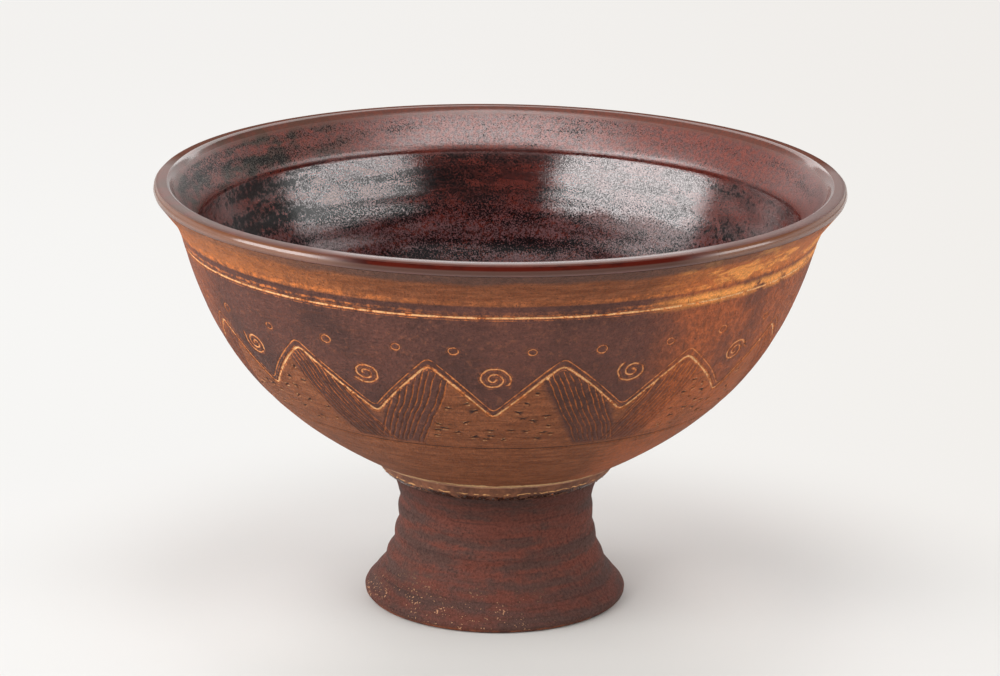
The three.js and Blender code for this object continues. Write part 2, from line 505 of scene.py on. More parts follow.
class CarvingTree(PottersTree):
    """Cuts the tool's strokes into the flat plan of the band and wraps it round the bowl."""

    name = "carving_the_band"
    sockets = {"Strokes": "Object", "Outline": "Object", "Plain Parts": "Object",
               "Plan Radius": "Float", "Burr Height": "Float", "Burr Width": "Float"}
    SEAM = 12 * MICRON
    FULL_DEPTH = 0.5 * MM

    def draw(self) -> None:
        """Finds each point's stroke, sinks the point, and carries it on to the outline."""
        given = self.given
        strokes = self.shape_of("Strokes")
        here = self.here()
        distance = self.get("GeometryNodeProximity", {0: strokes, "Sample Position": here},
                            "Distance", target_element="EDGES")
        nearest = self.get("GeometryNodeSampleNearest",
                           {"Geometry": strokes, "Sample Position": here}, domain="EDGE")
        half, depth, glow = (self.pick(strokes, self.named(name), nearest, domain="EDGE")
                             for name in ("half_width", "depth", "glow"))
        reach = distance / half
        groove = self.math("SUBTRACT", 1.0, reach * reach, clamp=True)
        beyond = abs((distance - half) / given["Burr Width"] - 1.0)
        burr = self.math("SUBTRACT", 1.0, beyond, clamp=True)
        rise = burr * given["Burr Height"] * (depth / self.FULL_DEPTH) - groove * depth
        plan = given["Geometry"]
        for name, value in (("cut", groove - burr), ("glow", glow)):
            plan = self.get("GeometryNodeStoreNamedAttribute",
                            {"Geometry": plan, "Name": name, "Value": value})
        place, way = self.along_outline()
        across, _, climb = self.split(way)
        outward = self.vector("SCALE", self.join(climb, 0.0, -across), rise)
        radius, _, height = self.split(self.vector("ADD", place, outward))
        run, _, _ = self.split(here)
        turn = run / given["Plan Radius"]
        band = self.thrown(plan, self.round_axis(radius, turn, height))
        whole = self.add("GeometryNodeJoinGeometry")
        for shape in (band, self.shape_of("Plain Parts")):
            self.fill(whole.inputs[0], shape)
        self.end(self.merged(whole.outputs[0], self.SEAM))

    def along_outline(self) -> tuple[Signal, Signal]:
        """Returns the place and the way of the outline at each point's length along it.

        Returns:
            The place, then the way.
        """
        curve = self.get("GeometryNodeMeshToCurve", {0: self.shape_of("Outline")})
        sample = self.add("GeometryNodeSampleCurve",
                          {"Curves": curve, "Length": self.named("along")}, mode="LENGTH")
        return tuple(Signal(self, sample.outputs[name]) for name in ("Position", "Tangent"))

    def shape_of(self, name: str) -> Signal:
        """Returns the geometry of the object given to one input."""
        return self.get("GeometryNodeObjectInfo", {"Object": self.given[name]}, "Geometry")


class BeadTree(PottersTree):
    """Strews small beads of run glaze along a ring."""

    name = "beads_of_run_glaze"
    sockets = {"Count": "Int", "Ring Radius": "Float", "Ring Height": "Float",
               "Spread": "Float", "Smallest": "Float", "Largest": "Float", "Seed": "Int"}
    SLOPE = 0.9
    WIDTH = 0.8
    HEIGHT = 0.75
    MOSTLY_SMALL = 3.0

    def draw(self) -> None:
        """Places the beads by chance, from a fixed seed."""
        given = self.given
        points = self.get("GeometryNodePoints", {"Count": given["Count"]})
        turn = self.chance(0.0, math.tau, 1)
        lift = self.chance(-1.0, 1.0, 2) * given["Spread"]
        radius = given["Ring Radius"] + lift * self.SLOPE
        place = self.join(radius * self.math("SINE", turn), radius * self.math("COSINE", turn),
                          given["Ring Height"] + lift)
        points = self.get("GeometryNodeSetPosition", {"Geometry": points, "Position": place})
        bead = self.get("GeometryNodeMeshUVSphere", {"Segments": 8, "Rings": 5, "Radius": 1.0})
        share = self.math("POWER", self.chance(0.0, 1.0, 3), self.MOSTLY_SMALL)
        size = given["Smallest"] + share * (given["Largest"] - given["Smallest"])
        shape = self.join(size * self.chance(0.9, 1.6, 4), size * self.WIDTH, size * self.HEIGHT)
        spin = self.join(self.chance(-0.4, 0.4, 5), 0.0, -turn)
        beads = self.get("GeometryNodeInstanceOnPoints",
                         {"Points": points, "Instance": bead, "Rotation": spin, "Scale": shape})
        real = self.get("GeometryNodeRealizeInstances", {"Geometry": beads})
        self.end(self.thrown(real, self.here()))

    def chance(self, low: float, high: float, salt: int) -> Signal:
        """Returns a number by chance for each point, one kind of number for each salt.

        Args:
            low: The least that it can be.
            high: The most that it can be.
            salt: Which kind of number it is.

        Returns:
            The number.
        """
        seed = self.given["Seed"] + float(salt)
        return self.get("FunctionNodeRandomValue", {2: low, 3: high, "Seed": seed}, 1,
                        data_type="FLOAT")


def mark(mesh: bpy.types.Mesh, domain: str, **marks: list[float]) -> bpy.types.Mesh:
    """Writes named numbers on a mesh's points or edges, and returns the mesh.

    Args:
        mesh: The mesh.
        domain: POINT or EDGE.
        **marks: The numbers by their name, one for each point or edge.

    Returns:
        The same mesh.
    """
    for name, values in marks.items():
        mesh.attributes.new(name, "FLOAT", domain).data.foreach_set("value", values)
    return mesh


@dataclass
class Outline:
    """A coat's outline in the plane of the axis: radius and height, inside to the left."""

    points: list[Point]
    closed: bool

    SHARP = math.radians(58.0)
    NICK_TURN = 0.8 * SHARP
    NICK_LENGTH = 1.7 * MM
    NICK_RADIUS = 50 * MM
    NICK_LOW = 80 * MM
    NICK_HIGH = 150 * MM
    BURIED_SLOPE = 0.2
    HEIGHT_WEIGHT = 4

    @classmethod
    def of_solid(cls, node: bpy.types.Object) -> Outline:
        """Reads a turned solid's outline from the half-plane in front of the axis.

        Args:
            node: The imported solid's object.

        Returns:
            The outline, which runs with the solid on its left.
        """
        places = {vertex.index: (round(-vertex.co.y / MICRON), round(vertex.co.z / MICRON))
                  for vertex in node.data.vertices
                  if abs(vertex.co.x) < MICRON and vertex.co.y < MICRON}
        links: dict[tuple[int, int], set[tuple[int, int]]] = {}
        for edge in node.data.edges:
            first, second = (places.get(index) for index in edge.vertices)
            if first and second and first != second:
                links.setdefault(first, set()).add(second)
                links.setdefault(second, set()).add(first)
        ends = sorted(place for place, near in links.items() if len(near) == 1)
        walk = ends[:1] or [min(links)]
        while ahead := sorted(links[walk[-1]] - set(walk)):
            walk.append(ahead[0])
        outline = cls([(radius * MICRON, height * MICRON) for radius, height in walk], not ends)
        if outline.area() < 0.0:
            outline.points.reverse()
        return outline

    def area(self) -> float:
        """Returns the area inside, above 0 where the outline runs anticlockwise."""
        ring = self.points + self.points[:1]
        return 0.5 * sum(a[0] * b[1] - b[0] * a[1] for a, b in zip(ring, ring[1:]))

    def spans(self) -> int:
        """Returns how many spans join the points."""
        return len(self.points) if self.closed else len(self.points) - 1

    def near(self, index: int) -> tuple[Point, ...]:
        """Returns a point between its two neighbours."""
        return tuple(self.points[(index + step) % len(self.points)] for step in (-1, 0, 1))

    def turn_at(self, index: int) -> float:
        """Returns how sharply the outline turns at a point, to the left above 0.

        Args:
            index: The point's number.

        Returns:
            The turn in radians, 0 at an open end.
        """
        if not self.closed and index in (0, len(self.points) - 1):
            return 0.0
        before, here, after = self.near(index)
        first = math.atan2(here[1] - before[1], here[0] - before[0])
        second = math.atan2(after[1] - here[1], after[0] - here[0])
        return (second - first + math.pi) % math.tau - math.pi

    def without_nicks(self) -> Outline:
        """Returns the outline with its small ring-shaped nicks filled, to be cut again later."""
        return Outline([point for index, point in enumerate(self.points)
                        if not self.in_nick(index)], self.closed)

    def in_nick(self, index: int) -> bool:
        """Tells whether a point is a corner of a small nick in the outer wall.

        Args:
            index: The point's number.

        Returns:
            Whether it is one.
        """
        before, here, after = self.near(index)
        short = max(math.dist(here, before), math.dist(here, after)) < self.NICK_LENGTH
        outer = here[0] > self.NICK_RADIUS and self.NICK_LOW < here[1] < self.NICK_HIGH
        return short and outer and abs(self.turn_at(index)) > self.NICK_TURN

    def smoothed(self, fine: float, coarse: float, buried: Facing) -> Outline:
        """Draws a curve through the points, with corners kept, and marks it off evenly.

        Args:
            fine: The spacing on the sides that are seen.
            coarse: The spacing on the buried side.
            buried: Which way the buried side looks.

        Returns:
            The smooth outline.
        """
        count = len(self.points)
        sharp = [abs(self.turn_at(index)) > self.SHARP for index in range(count)]
        result: list[Point] = []
        for index in range(self.spans()):
            start, end = self.points[index], self.points[(index + 1) % count]
            before = self.beyond(index, -1, start, end, sharp[index])
            after = self.beyond(index + 1, 1, end, start, sharp[(index + 1) % count])
            if start[1] < MICRON and end[1] < MICRON:
                before = 2 * start[0] - end[0], 0.0
                after = 2 * end[0] - start[0], 0.0
            length = math.dist(start, end)
            hidden = (start[0] - end[0]) / length * buried.value > self.BURIED_SLOPE
            steps = max(1, round(length / (coarse if hidden else fine)))
            for step in range(steps):
                radius, height = catmull(before, start, end, after, step / steps)
                result.append((radius, max(height, 0.0)))
        if not self.closed:
            result.append(self.points[-1])
        return Outline(result, self.closed)

    def beyond(self, index: int, step: int, here: Point, other: Point, sharp: bool) -> Point:
        """Returns the point that steers the curve past one end of a span.

        Args:
            index: The end's number in the outline.
            step: Which way past the end to look.
            here: The end's place.
            other: The span's other end.
            sharp: Whether the outline has a corner at the end.

        Returns:
            The next point, or a mirrored one at a corner or on the axis.
        """
        if here[0] < MICRON:
            return -other[0], other[1]
        if sharp:
            return 2 * here[0] - other[0], 2 * here[1] - other[1]
        return self.points[(index + step) % len(self.points)]

    def between(self, low: float, high: float) -> tuple[Outline, Outline]:
        """Parts a closed outline's outer face from the rest.

        Args:
            low: The height where the outer face's share starts.
            high: The height where it ends.

        Returns:
            The share of the outer face, upwards, and all the rest, from its top to its foot.
        """
        def reach(index: int) -> float:
            """Returns how far out a point stands, less its distance from the middle height."""
            radius, height = self.points[index]
            return radius - self.HEIGHT_WEIGHT * abs(height - (low + high) / 2)

        count = len(self.points)
        first = last = max(range(count), key=reach)
        while self.points[(first - 1) % count][1] > low:
            first -= 1
        while self.points[(last + 1) % count][1] < high:
            last += 1
        band, rest = ([self.points[index % count] for index in range(start, end + 1)]
                      for start, end in ((first, last), (last, first + count)))
        return Outline(band, False), Outline(rest, False)

    def mesh(self, name: str, ridges: Ridges) -> bpy.types.Mesh:
        """Makes the outline a mesh of points and edges for a tree to read.

        Args:
            name: The mesh's name.
            ridges: The finger ridges on it.

        Returns:
            The mesh, with the way outwards and the ridges' strength as attributes.
        """
        count = len(self.points)
        mesh = bpy.data.meshes.new(name)
        mesh.from_pydata([(radius, 0.0, height) for radius, height in self.points],
                         [(index, (index + 1) % count) for index in range(self.spans())], [])
        outward: list[float] = []
        for index, here in enumerate(self.points):
            before, _, after = self.near(index)
            if not self.closed:
                before = before if index else here
                after = after if index < count - 1 else here
            length = math.dist(before, after) or 1.0
            outward += [(after[1] - before[1]) / length, 0.0, (before[0] - after[0]) / length]
        mesh.attributes.new("outward", "FLOAT_VECTOR", "POINT").data.foreach_set("vector", outward)
        return mark(mesh, "POINT", ridge=[ridges.at(height) for _, height in self.points])


def catmull(before: Point, start: Point, end: Point, after: Point, share: float) -> Point:
    """Finds a place on the centripetal curve through four points.

    Args:
        before: The point before the span.
        start: The span's start.
        end: The span's end.
        after: The point after the span.
        share: How far along the span, from 0 to 1.

    Returns:
        The place.
    """
    level = [before, start, end, after]
    knots = [0.0]
    for first, second in zip(level, level[1:]):
        knots.append(knots[-1] + max(math.dist(first, second), MICRON) ** 0.5)
    here = knots[1] + share * (knots[2] - knots[1])
    for spans in (((0, 1), (1, 2), (2, 3)), ((0, 2), (1, 3)), ((1, 2),)):
        parts = [(here - knots[low]) / (knots[high] - knots[low]) for low, high in spans]
        level = [(a[0] + part * (b[0] - a[0]), a[1] + part * (b[1] - a[1]))
                 for a, b, part in zip(level, level[1:], parts)]
    return level[0]


def turned(name: str, outline: Outline, around: int, finish: bpy.types.Material, wobble: Wobble,
           ridges: Ridges = Ridges()) -> bpy.types.Object:
    """Turns an outline into a piece.

    Args:
        name: The piece's name.
        outline: Its outline, smoothed.
        around: How many faces go round.
        finish: Its material.
        wobble: How uneven the pot is.
        ridges: The finger ridges on it.

    Returns:
        The piece.
    """
    count = len(outline.points)
    feeds = {"Around": around, "Rows": outline.spans() + 1, "Points": count, **ridges.feeds()}
    start = outline.mesh(name + "_outline", ridges)
    return TurningTree().cast(name, start, feeds, finish, wobble)


@dataclass(frozen=True)
class Cut:
    """What one tool leaves: half its width and its depth in millimetres, and how bright."""

    half_mm: float
    depth_mm: float
    glow: float


class Tool(Enum):
    """The tools that cut the band."""

    RING = Cut(0.55, 0.40, 1.0)
    GROOVE = Cut(0.55, 0.35, 0.28)
    LINE = Cut(0.58, 0.44, 0.95)
    THIN = Cut(0.36, 0.24, 0.50)
    COMB = Cut(0.36, 0.30, 0.42)
    STAMP = Cut(0.34, 0.26, 0.60)
    CURL = Cut(0.46, 0.36, 0.66)
    # Its glow below 0 marks a pit that the slip darkens as painted shade.
    PRICK = Cut(0.44, 0.45, -0.80)


@dataclass
class Stroke:
    """One cut on the plan: its path, its tool and how it fades from its start to its end."""

    path: list[Point]
    tool: Tool
    fade: float = 0.0
    round_the_pot: bool = False
    taper: bool = False


class BandPlan:
    """The flat plan of the carved band: true to angle, and as long as the pot is round.

    The plan's width runs round the pot at one radius. Its height is stretched where the pot is
    wider and squeezed where it is narrower, so that shapes keep their form.
    """

    RADIUS = 110.0

    def __init__(self, band: Outline) -> None:
        """Measures the outline of the band.

        Args:
            band: The outer face's outline, upwards.
        """
        places = np.array(band.points) / MM
        steps = np.hypot(*np.diff(places, axis=0).T)
        middle = (places[1:, 0] + places[:-1, 0]) / 2
        self.radius, self.level = places.T
        self.along = np.concatenate([[0.0], np.cumsum(steps)])
        self.height = np.concatenate([[0.0], np.cumsum(steps * self.RADIUS / middle)])
        self.width = math.tau * self.RADIUS
        self.half = self.width / 2
        self.top = float(self.height[-1])

    def stretch(self, v: float) -> float:
        """Returns how much larger the plan is than the pot at a height of the plan."""
        return self.RADIUS / float(np.interp(v, self.height, self.radius))

    def v_at(self, level: float) -> float:
        """Returns the plan's height for a height on the pot."""
        return float(np.interp(level, self.level, self.height))

    def stations(self, count: int) -> Iterator[float]:
        """Yields even stations all round the plan, its two ends with them."""
        for index in range(count + 1):
            yield -self.half + self.width * index / count


@dataclass
class Waver:
    """A slow, seeded waver, as of a hand that follows a line: sizes, lengths and phases."""

    waves: list[tuple[float, float, float]]

    def at(self, place: float) -> float:
        """Returns the waver at a place along the line."""
        return sum(size * math.sin(math.tau * place / length + phase)
                   for size, length, phase in self.waves)


@dataclass
class Frieze:
    """The ornament: its layout on the plan, in millimetres."""

    plan: BandPlan
    upper_ring_level: float = 143.0
    lower_ring_level: float = 85.6
    teeth: int = 14
    peak: float = 51.5
    dip: float = 26.0
    bulge: float = 1.1
    thin_line_above: float = 3.3
    comb_foot: float = 6.2
    comb_start: float = 2.3
    comb_lines: int = 9
    comb_pitch: float = 2.3
    comb_step: float = 1.15
    comb_lean: float = 0.42
    comb_pivot: float = 14.0
    comb_shortest: int = 5
    comb_fade: float = 0.55
    strip_margin: float = 1.1
    strip_edge: float = 0.8
    strip_foot: float = 0.6
    strip_blur: float = 1.2
    strip_dark: float = 0.92
    line_blur: float = 0.5
    bow_length: float = 44.0
    below_line: float = 0.9
    above_peak: float = 3.0
    prick_tries: int = 260
    prick_count: int = 13
    prick_aside: float = 9.0
    prick_spread: float = 15.0
    prick_apart: float = 3.6
    prick_below_line: float = 4.0
    prick_above_foot: float = 4.0
    prick_below_peak: float = 8.0
    prick_beside_comb: float = 2.2
    prick_limit: float = 343.0
    spiral_above_dip: float = 20.5
    circlet_level: float = 58.6
    seed: int = 41
    strokes: list[Stroke] = field(default_factory=list)

    ROUNDING = (-1.6, -0.8, 0.0, 0.8, 1.6)
    FULL_ROUND = 500
    FINE_ROUND = 560

    def __post_init__(self) -> None:
        """Draws every stroke."""
        self.rng = random.Random(self.seed)
        self.pitch = self.plan.width / self.teeth
        self.zigzag_drift = [(self.about(0.0, 1.6), self.about(0.0, 1.3))
                             for _ in range(2 * self.teeth)]
        self.rings()
        self.zigzags()
        for tooth in range(self.teeth):
            self.comb(tooth)
            self.pricks(tooth)
            self.motifs(tooth)

    def about(self, value: float, spread: float) -> float:
        """Returns a value by chance, no further than a spread from the one given."""
        return value + self.rng.uniform(-spread, spread)

    def waver_round(self, size: float, *counts: int) -> Waver:
        """Makes a waver of one size that meets itself after a round, of whole waves."""
        return Waver([(size * self.rng.uniform(0.3, 1.0) / (1 + order), self.plan.width / count,
                       self.rng.uniform(0.0, math.tau)) for order, count in enumerate(counts)])

    def waver_along(self, size: float, length: float) -> Waver:
        """Makes a waver of about one size and length, for a short line.

        Args:
            size: The size of its longest wave.
            length: That wave's length.

        Returns:
            The waver.
        """
        return Waver([(size * share * self.rng.uniform(0.4, 1.0),
                       length * share * self.rng.uniform(0.8, 1.2),
                       self.rng.uniform(0.0, math.tau)) for share in (1.0, 0.55, 0.3)])

    def rings(self) -> None:
        """Draws the plain rings above and below the band."""
        for level, size, tool in ((self.upper_ring_level, 0.14, Tool.RING),
                                  (self.lower_ring_level, 0.2, Tool.GROOVE)):
            waver = self.waver_round(size, 2, 5, 23)
            path = [(u, self.plan.v_at(level) + waver.at(u))
                    for u in self.plan.stations(self.FULL_ROUND)]
            self.strokes.append(Stroke(path, tool, round_the_pot=True))

    def corner(self, index: int) -> Point:
        """Returns one corner of the zigzag: even ones are dips, odd ones are peaks.

        Args:
            index: The corner's number, from the left end.

        Returns:
            The corner's place.
        """
        wrapped = index % (2 * self.teeth)
        shift, lift = self.zigzag_drift[wrapped]
        level = self.peak if wrapped % 2 else self.dip
        return -self.plan.half + self.pitch * index / 2 + (shift if wrapped else 0.0), level + lift

    def zigzag_at(self, u: float) -> float:
        """Returns the height of the zigzag's line, with its corners a little rounded."""
        return sum(self.side_at(u + offset) for offset in self.ROUNDING) / len(self.ROUNDING)

    def side_at(self, u: float) -> float:
        """Returns the height of the zigzag's slightly bowed side at a place.

        Args:
            u: The place round the plan.

        Returns:
            The height.
        """
        place = (u + self.plan.half) % self.plan.width
        index = int(place / (self.pitch / 2))
        for near in (index - 1, index, index + 1):
            (left, start), (right, end) = self.corner(near), self.corner(near + 1)
            if left <= place - self.plan.half < right:
                part = (place - self.plan.half - left) / (right - left)
                return start + (end - start) * part + self.bulge * math.sin(math.pi * part)
        return self.corner(index)[1]

    def zigzags(self) -> None:
        """Draws the zigzag and the thin line that goes with it."""
        for waver, above, tool in ((self.waver_round(0.16, 11, 29, 47), 0.0, Tool.LINE),
                                   (self.waver_round(0.3, 7, 19, 37), self.thin_line_above,
                                    Tool.THIN)):
            path = [(u, self.zigzag_at(u) + above + waver.at(u))
                    for u in self.plan.stations(self.FINE_ROUND)]
            self.strokes.append(Stroke(path, tool, round_the_pot=True))
        self.line = np.array(self.strokes[-2].path).T

    def line_at(self, u: float) -> float:
        """Returns the height of the drawn zigzag."""
        return float(np.interp(u, *self.line))

    def comb_side(self, tooth: int) -> tuple[float, float, float]:
        """Returns where a tooth's comb starts, which way its lines follow and how they lean.

        Args:
            tooth: The tooth's number.

        Returns:
            The start, the way, 1 to the right or -1 to the left, and the lean.
        """
        follows_left = tooth % 2 == 0
        foot = self.corner(2 * tooth if follows_left else 2 * tooth + 2)
        head = self.corner(2 * tooth + 1)
        slope = (head[0] - foot[0]) / (head[1] - foot[1])
        return foot[0], 1.0 if follows_left else -1.0, slope * self.comb_lean

    def comb(self, tooth: int) -> None:
        """Draws one tooth's combed lines, each from the zigzag down to above the lower ring.

        Args:
            tooth: The tooth's number.
        """
        foot, way, lean = self.comb_side(tooth)
        bow = self.rng.uniform(-1.2, 1.6)
        shared = self.waver_along(0.35, 26.0)
        for line in range(self.comb_lines):
            start = foot + way * (self.comb_start + line * self.comb_pitch + self.about(0.0, 0.25))
            base = self.comb_foot + self.rng.uniform(-0.8, 1.6)
            own = self.waver_along(0.12, 11.0)
            path: list[Point] = []
            level = base
            while level <= self.peak + self.above_peak:
                rise = level - base
                u = (start + lean * (rise - self.comb_pivot)
                     + way * bow * math.sin(math.pi * rise / self.bow_length)
                     + shared.at(level) + own.at(level))
                if level > self.line_at(u) - self.below_line:
                    break
                path.append((u, level))
                level += self.comb_step
            if len(path) >= self.comb_shortest:
                self.strokes.append(Stroke(path[::-1], Tool.COMB, self.comb_fade, taper=True))

    def comb_cover(self, tooth: int, u: float, v: float) -> float:
        """Returns how far a place lies inside the combed strip of a tooth or of one beside it.

        Args:
            tooth: The tooth's number.
            u: The place round the plan.
            v: Its height.

        Returns:
            The distance from the strip's edge, below 0 outside it.
        """
        depths = []
        width = self.comb_start + (self.comb_lines - 1) * self.comb_pitch + self.strip_margin
        for near in (tooth - 1, tooth, tooth + 1):
            foot, way, lean = self.comb_side(near % self.teeth)
            across = way * (u - foot - lean * (v - self.comb_foot - self.comb_pivot))
            depths.append(min(across - self.strip_edge, width - across,
                              v - self.comb_foot + self.strip_foot))
        return max(depths)

    def pricks(self, tooth: int) -> None:
        """Draws the pricked dots in the bare part of a tooth.

        Args:
            tooth: The tooth's number.
        """
        _, way, _ = self.comb_side(tooth)
        centre = self.corner(2 * tooth + 1)[0] + way * self.prick_aside
        placed: list[Point] = []
        for _ in range(self.prick_tries):
            u = self.about(centre, self.prick_spread)
            v = self.rng.uniform(self.comb_foot + self.prick_above_foot,
                                 self.peak - self.prick_below_peak)
            clear = (all(math.dist((u, v), other) > self.prick_apart for other in placed)
                     and v < self.line_at(u) - self.prick_below_line
                     and self.comb_cover(tooth, u, v) < -self.prick_beside_comb)
            if clear and len(placed) < self.prick_count and abs(u) < self.prick_limit:
                placed.append((u, v))
                run = self.rng.uniform(0.2, 0.9)
                path = [(u, v), (u + run, v + self.rng.uniform(-0.2, 0.3))]
                self.strokes.append(Stroke(path, Tool.PRICK))

    def motifs(self, tooth: int) -> None:
        """Draws a spiral above one dip of the zigzag, and a small circlet on either side.

        Args:
            tooth: The number of the tooth to the right of the dip.
        """
        if tooth == 0:
            return
        dip, level = self.corner(2 * tooth)
        centre = self.about(dip, 0.8), self.about(level + self.spiral_above_dip, 0.8)
        size = self.rng.uniform(5.4, 6.2)
        self.curl(centre, size, 0.9, self.about(1.9, 0.15), self.rng.uniform(0.82, 0.95),
                  Tool.CURL)
        for side, radius in ((-1.0, 1.9), (1.0, 1.6)):
            centre = (dip + side * self.rng.uniform(12.6, 14.0),
                      self.about(self.circlet_level, 0.8))
            self.curl(centre, radius, radius * 0.9, 0.92, self.rng.uniform(0.75, 0.95), Tool.STAMP)

    def curl(self, centre: Point, outer: float, inner: float, turns: float, squash: float,
             tool: Tool) -> None:
        """Draws a spiral, or an open circlet.

        Args:
            centre: Its middle.
            outer: Its radius where it starts.
            inner: Its radius where it ends.
            turns: How often it goes round.
            squash: Its height by its width.
            tool: What it is cut with.
        """
        begin = self.rng.uniform(0.0, math.tau)
        steps = max(12, round(turns * outer * 5))
        path = []
        for step in range(steps + 1):
            share = step / steps
            angle = begin + math.tau * turns * share
            reach = (outer + (inner - outer) * share) * self.rng.uniform(0.97, 1.03)
            path.append((centre[0] + reach * math.cos(angle),
                         centre[1] + reach * squash * math.sin(angle)))
        self.strokes.append(Stroke(path, tool))

    def darkness(self, u: float, v: float) -> float:
        """Returns how dark the slip is at a place: 1 for plum, 0 for brown.

        Args:
            u: The place round the plan.
            v: Its height.

        Returns:
            The darkness.
        """
        above = (v - self.line_at(u)) / self.line_blur + 0.5
        tooth = int((u + self.plan.half) / self.pitch) % self.teeth
        strip = self.comb_cover(tooth, u, v) / self.strip_blur + 0.5
        return min(1.0, max(0.0, above, self.strip_dark * min(strip, 1.0)))


@dataclass
class Scatter:
    """Points of the plan, kept a little apart from each other."""

    apart: float = 0.27
    points: list[Point] = field(default_factory=list)
    cells: dict[tuple[int, int], list[int]] = field(default_factory=dict)

    def cell(self, point: Point) -> tuple[int, int]:
        """Returns the column and the row of a point's cell."""
        return int(point[0] // self.apart), int(point[1] // self.apart)

    def near(self, point: Point, apart: float) -> int | None:
        """Returns the number of a point closer than a distance, or None.

        Args:
            point: The place to look round.
            apart: The distance.

        Returns:
            The near point's number, if there is one.
        """
        reach = math.ceil(apart / self.apart)
        column, row = self.cell(point)
        for x in range(column - reach, column + reach + 1):
            for y in range(row - reach, row + reach + 1):
                for index in self.cells.get((x, y), ()):
                    if math.dist(point, self.points[index]) < apart:
                        return index
        return None

    def add(self, point: Point, apart: float | None = None) -> int:
        """Adds a point, or finds the one that is already there.

        Args:
            point: The place.
            apart: The least distance from any other point, if not the usual one.

        Returns:
            The number of the new point or of the near one.
        """
        found = self.near(point, apart or self.apart)
        if found is not None:
            return found
        self.points.append(point)
        self.cells.setdefault(self.cell(point), []).append(len(self.points) - 1)
        return len(self.points) - 1


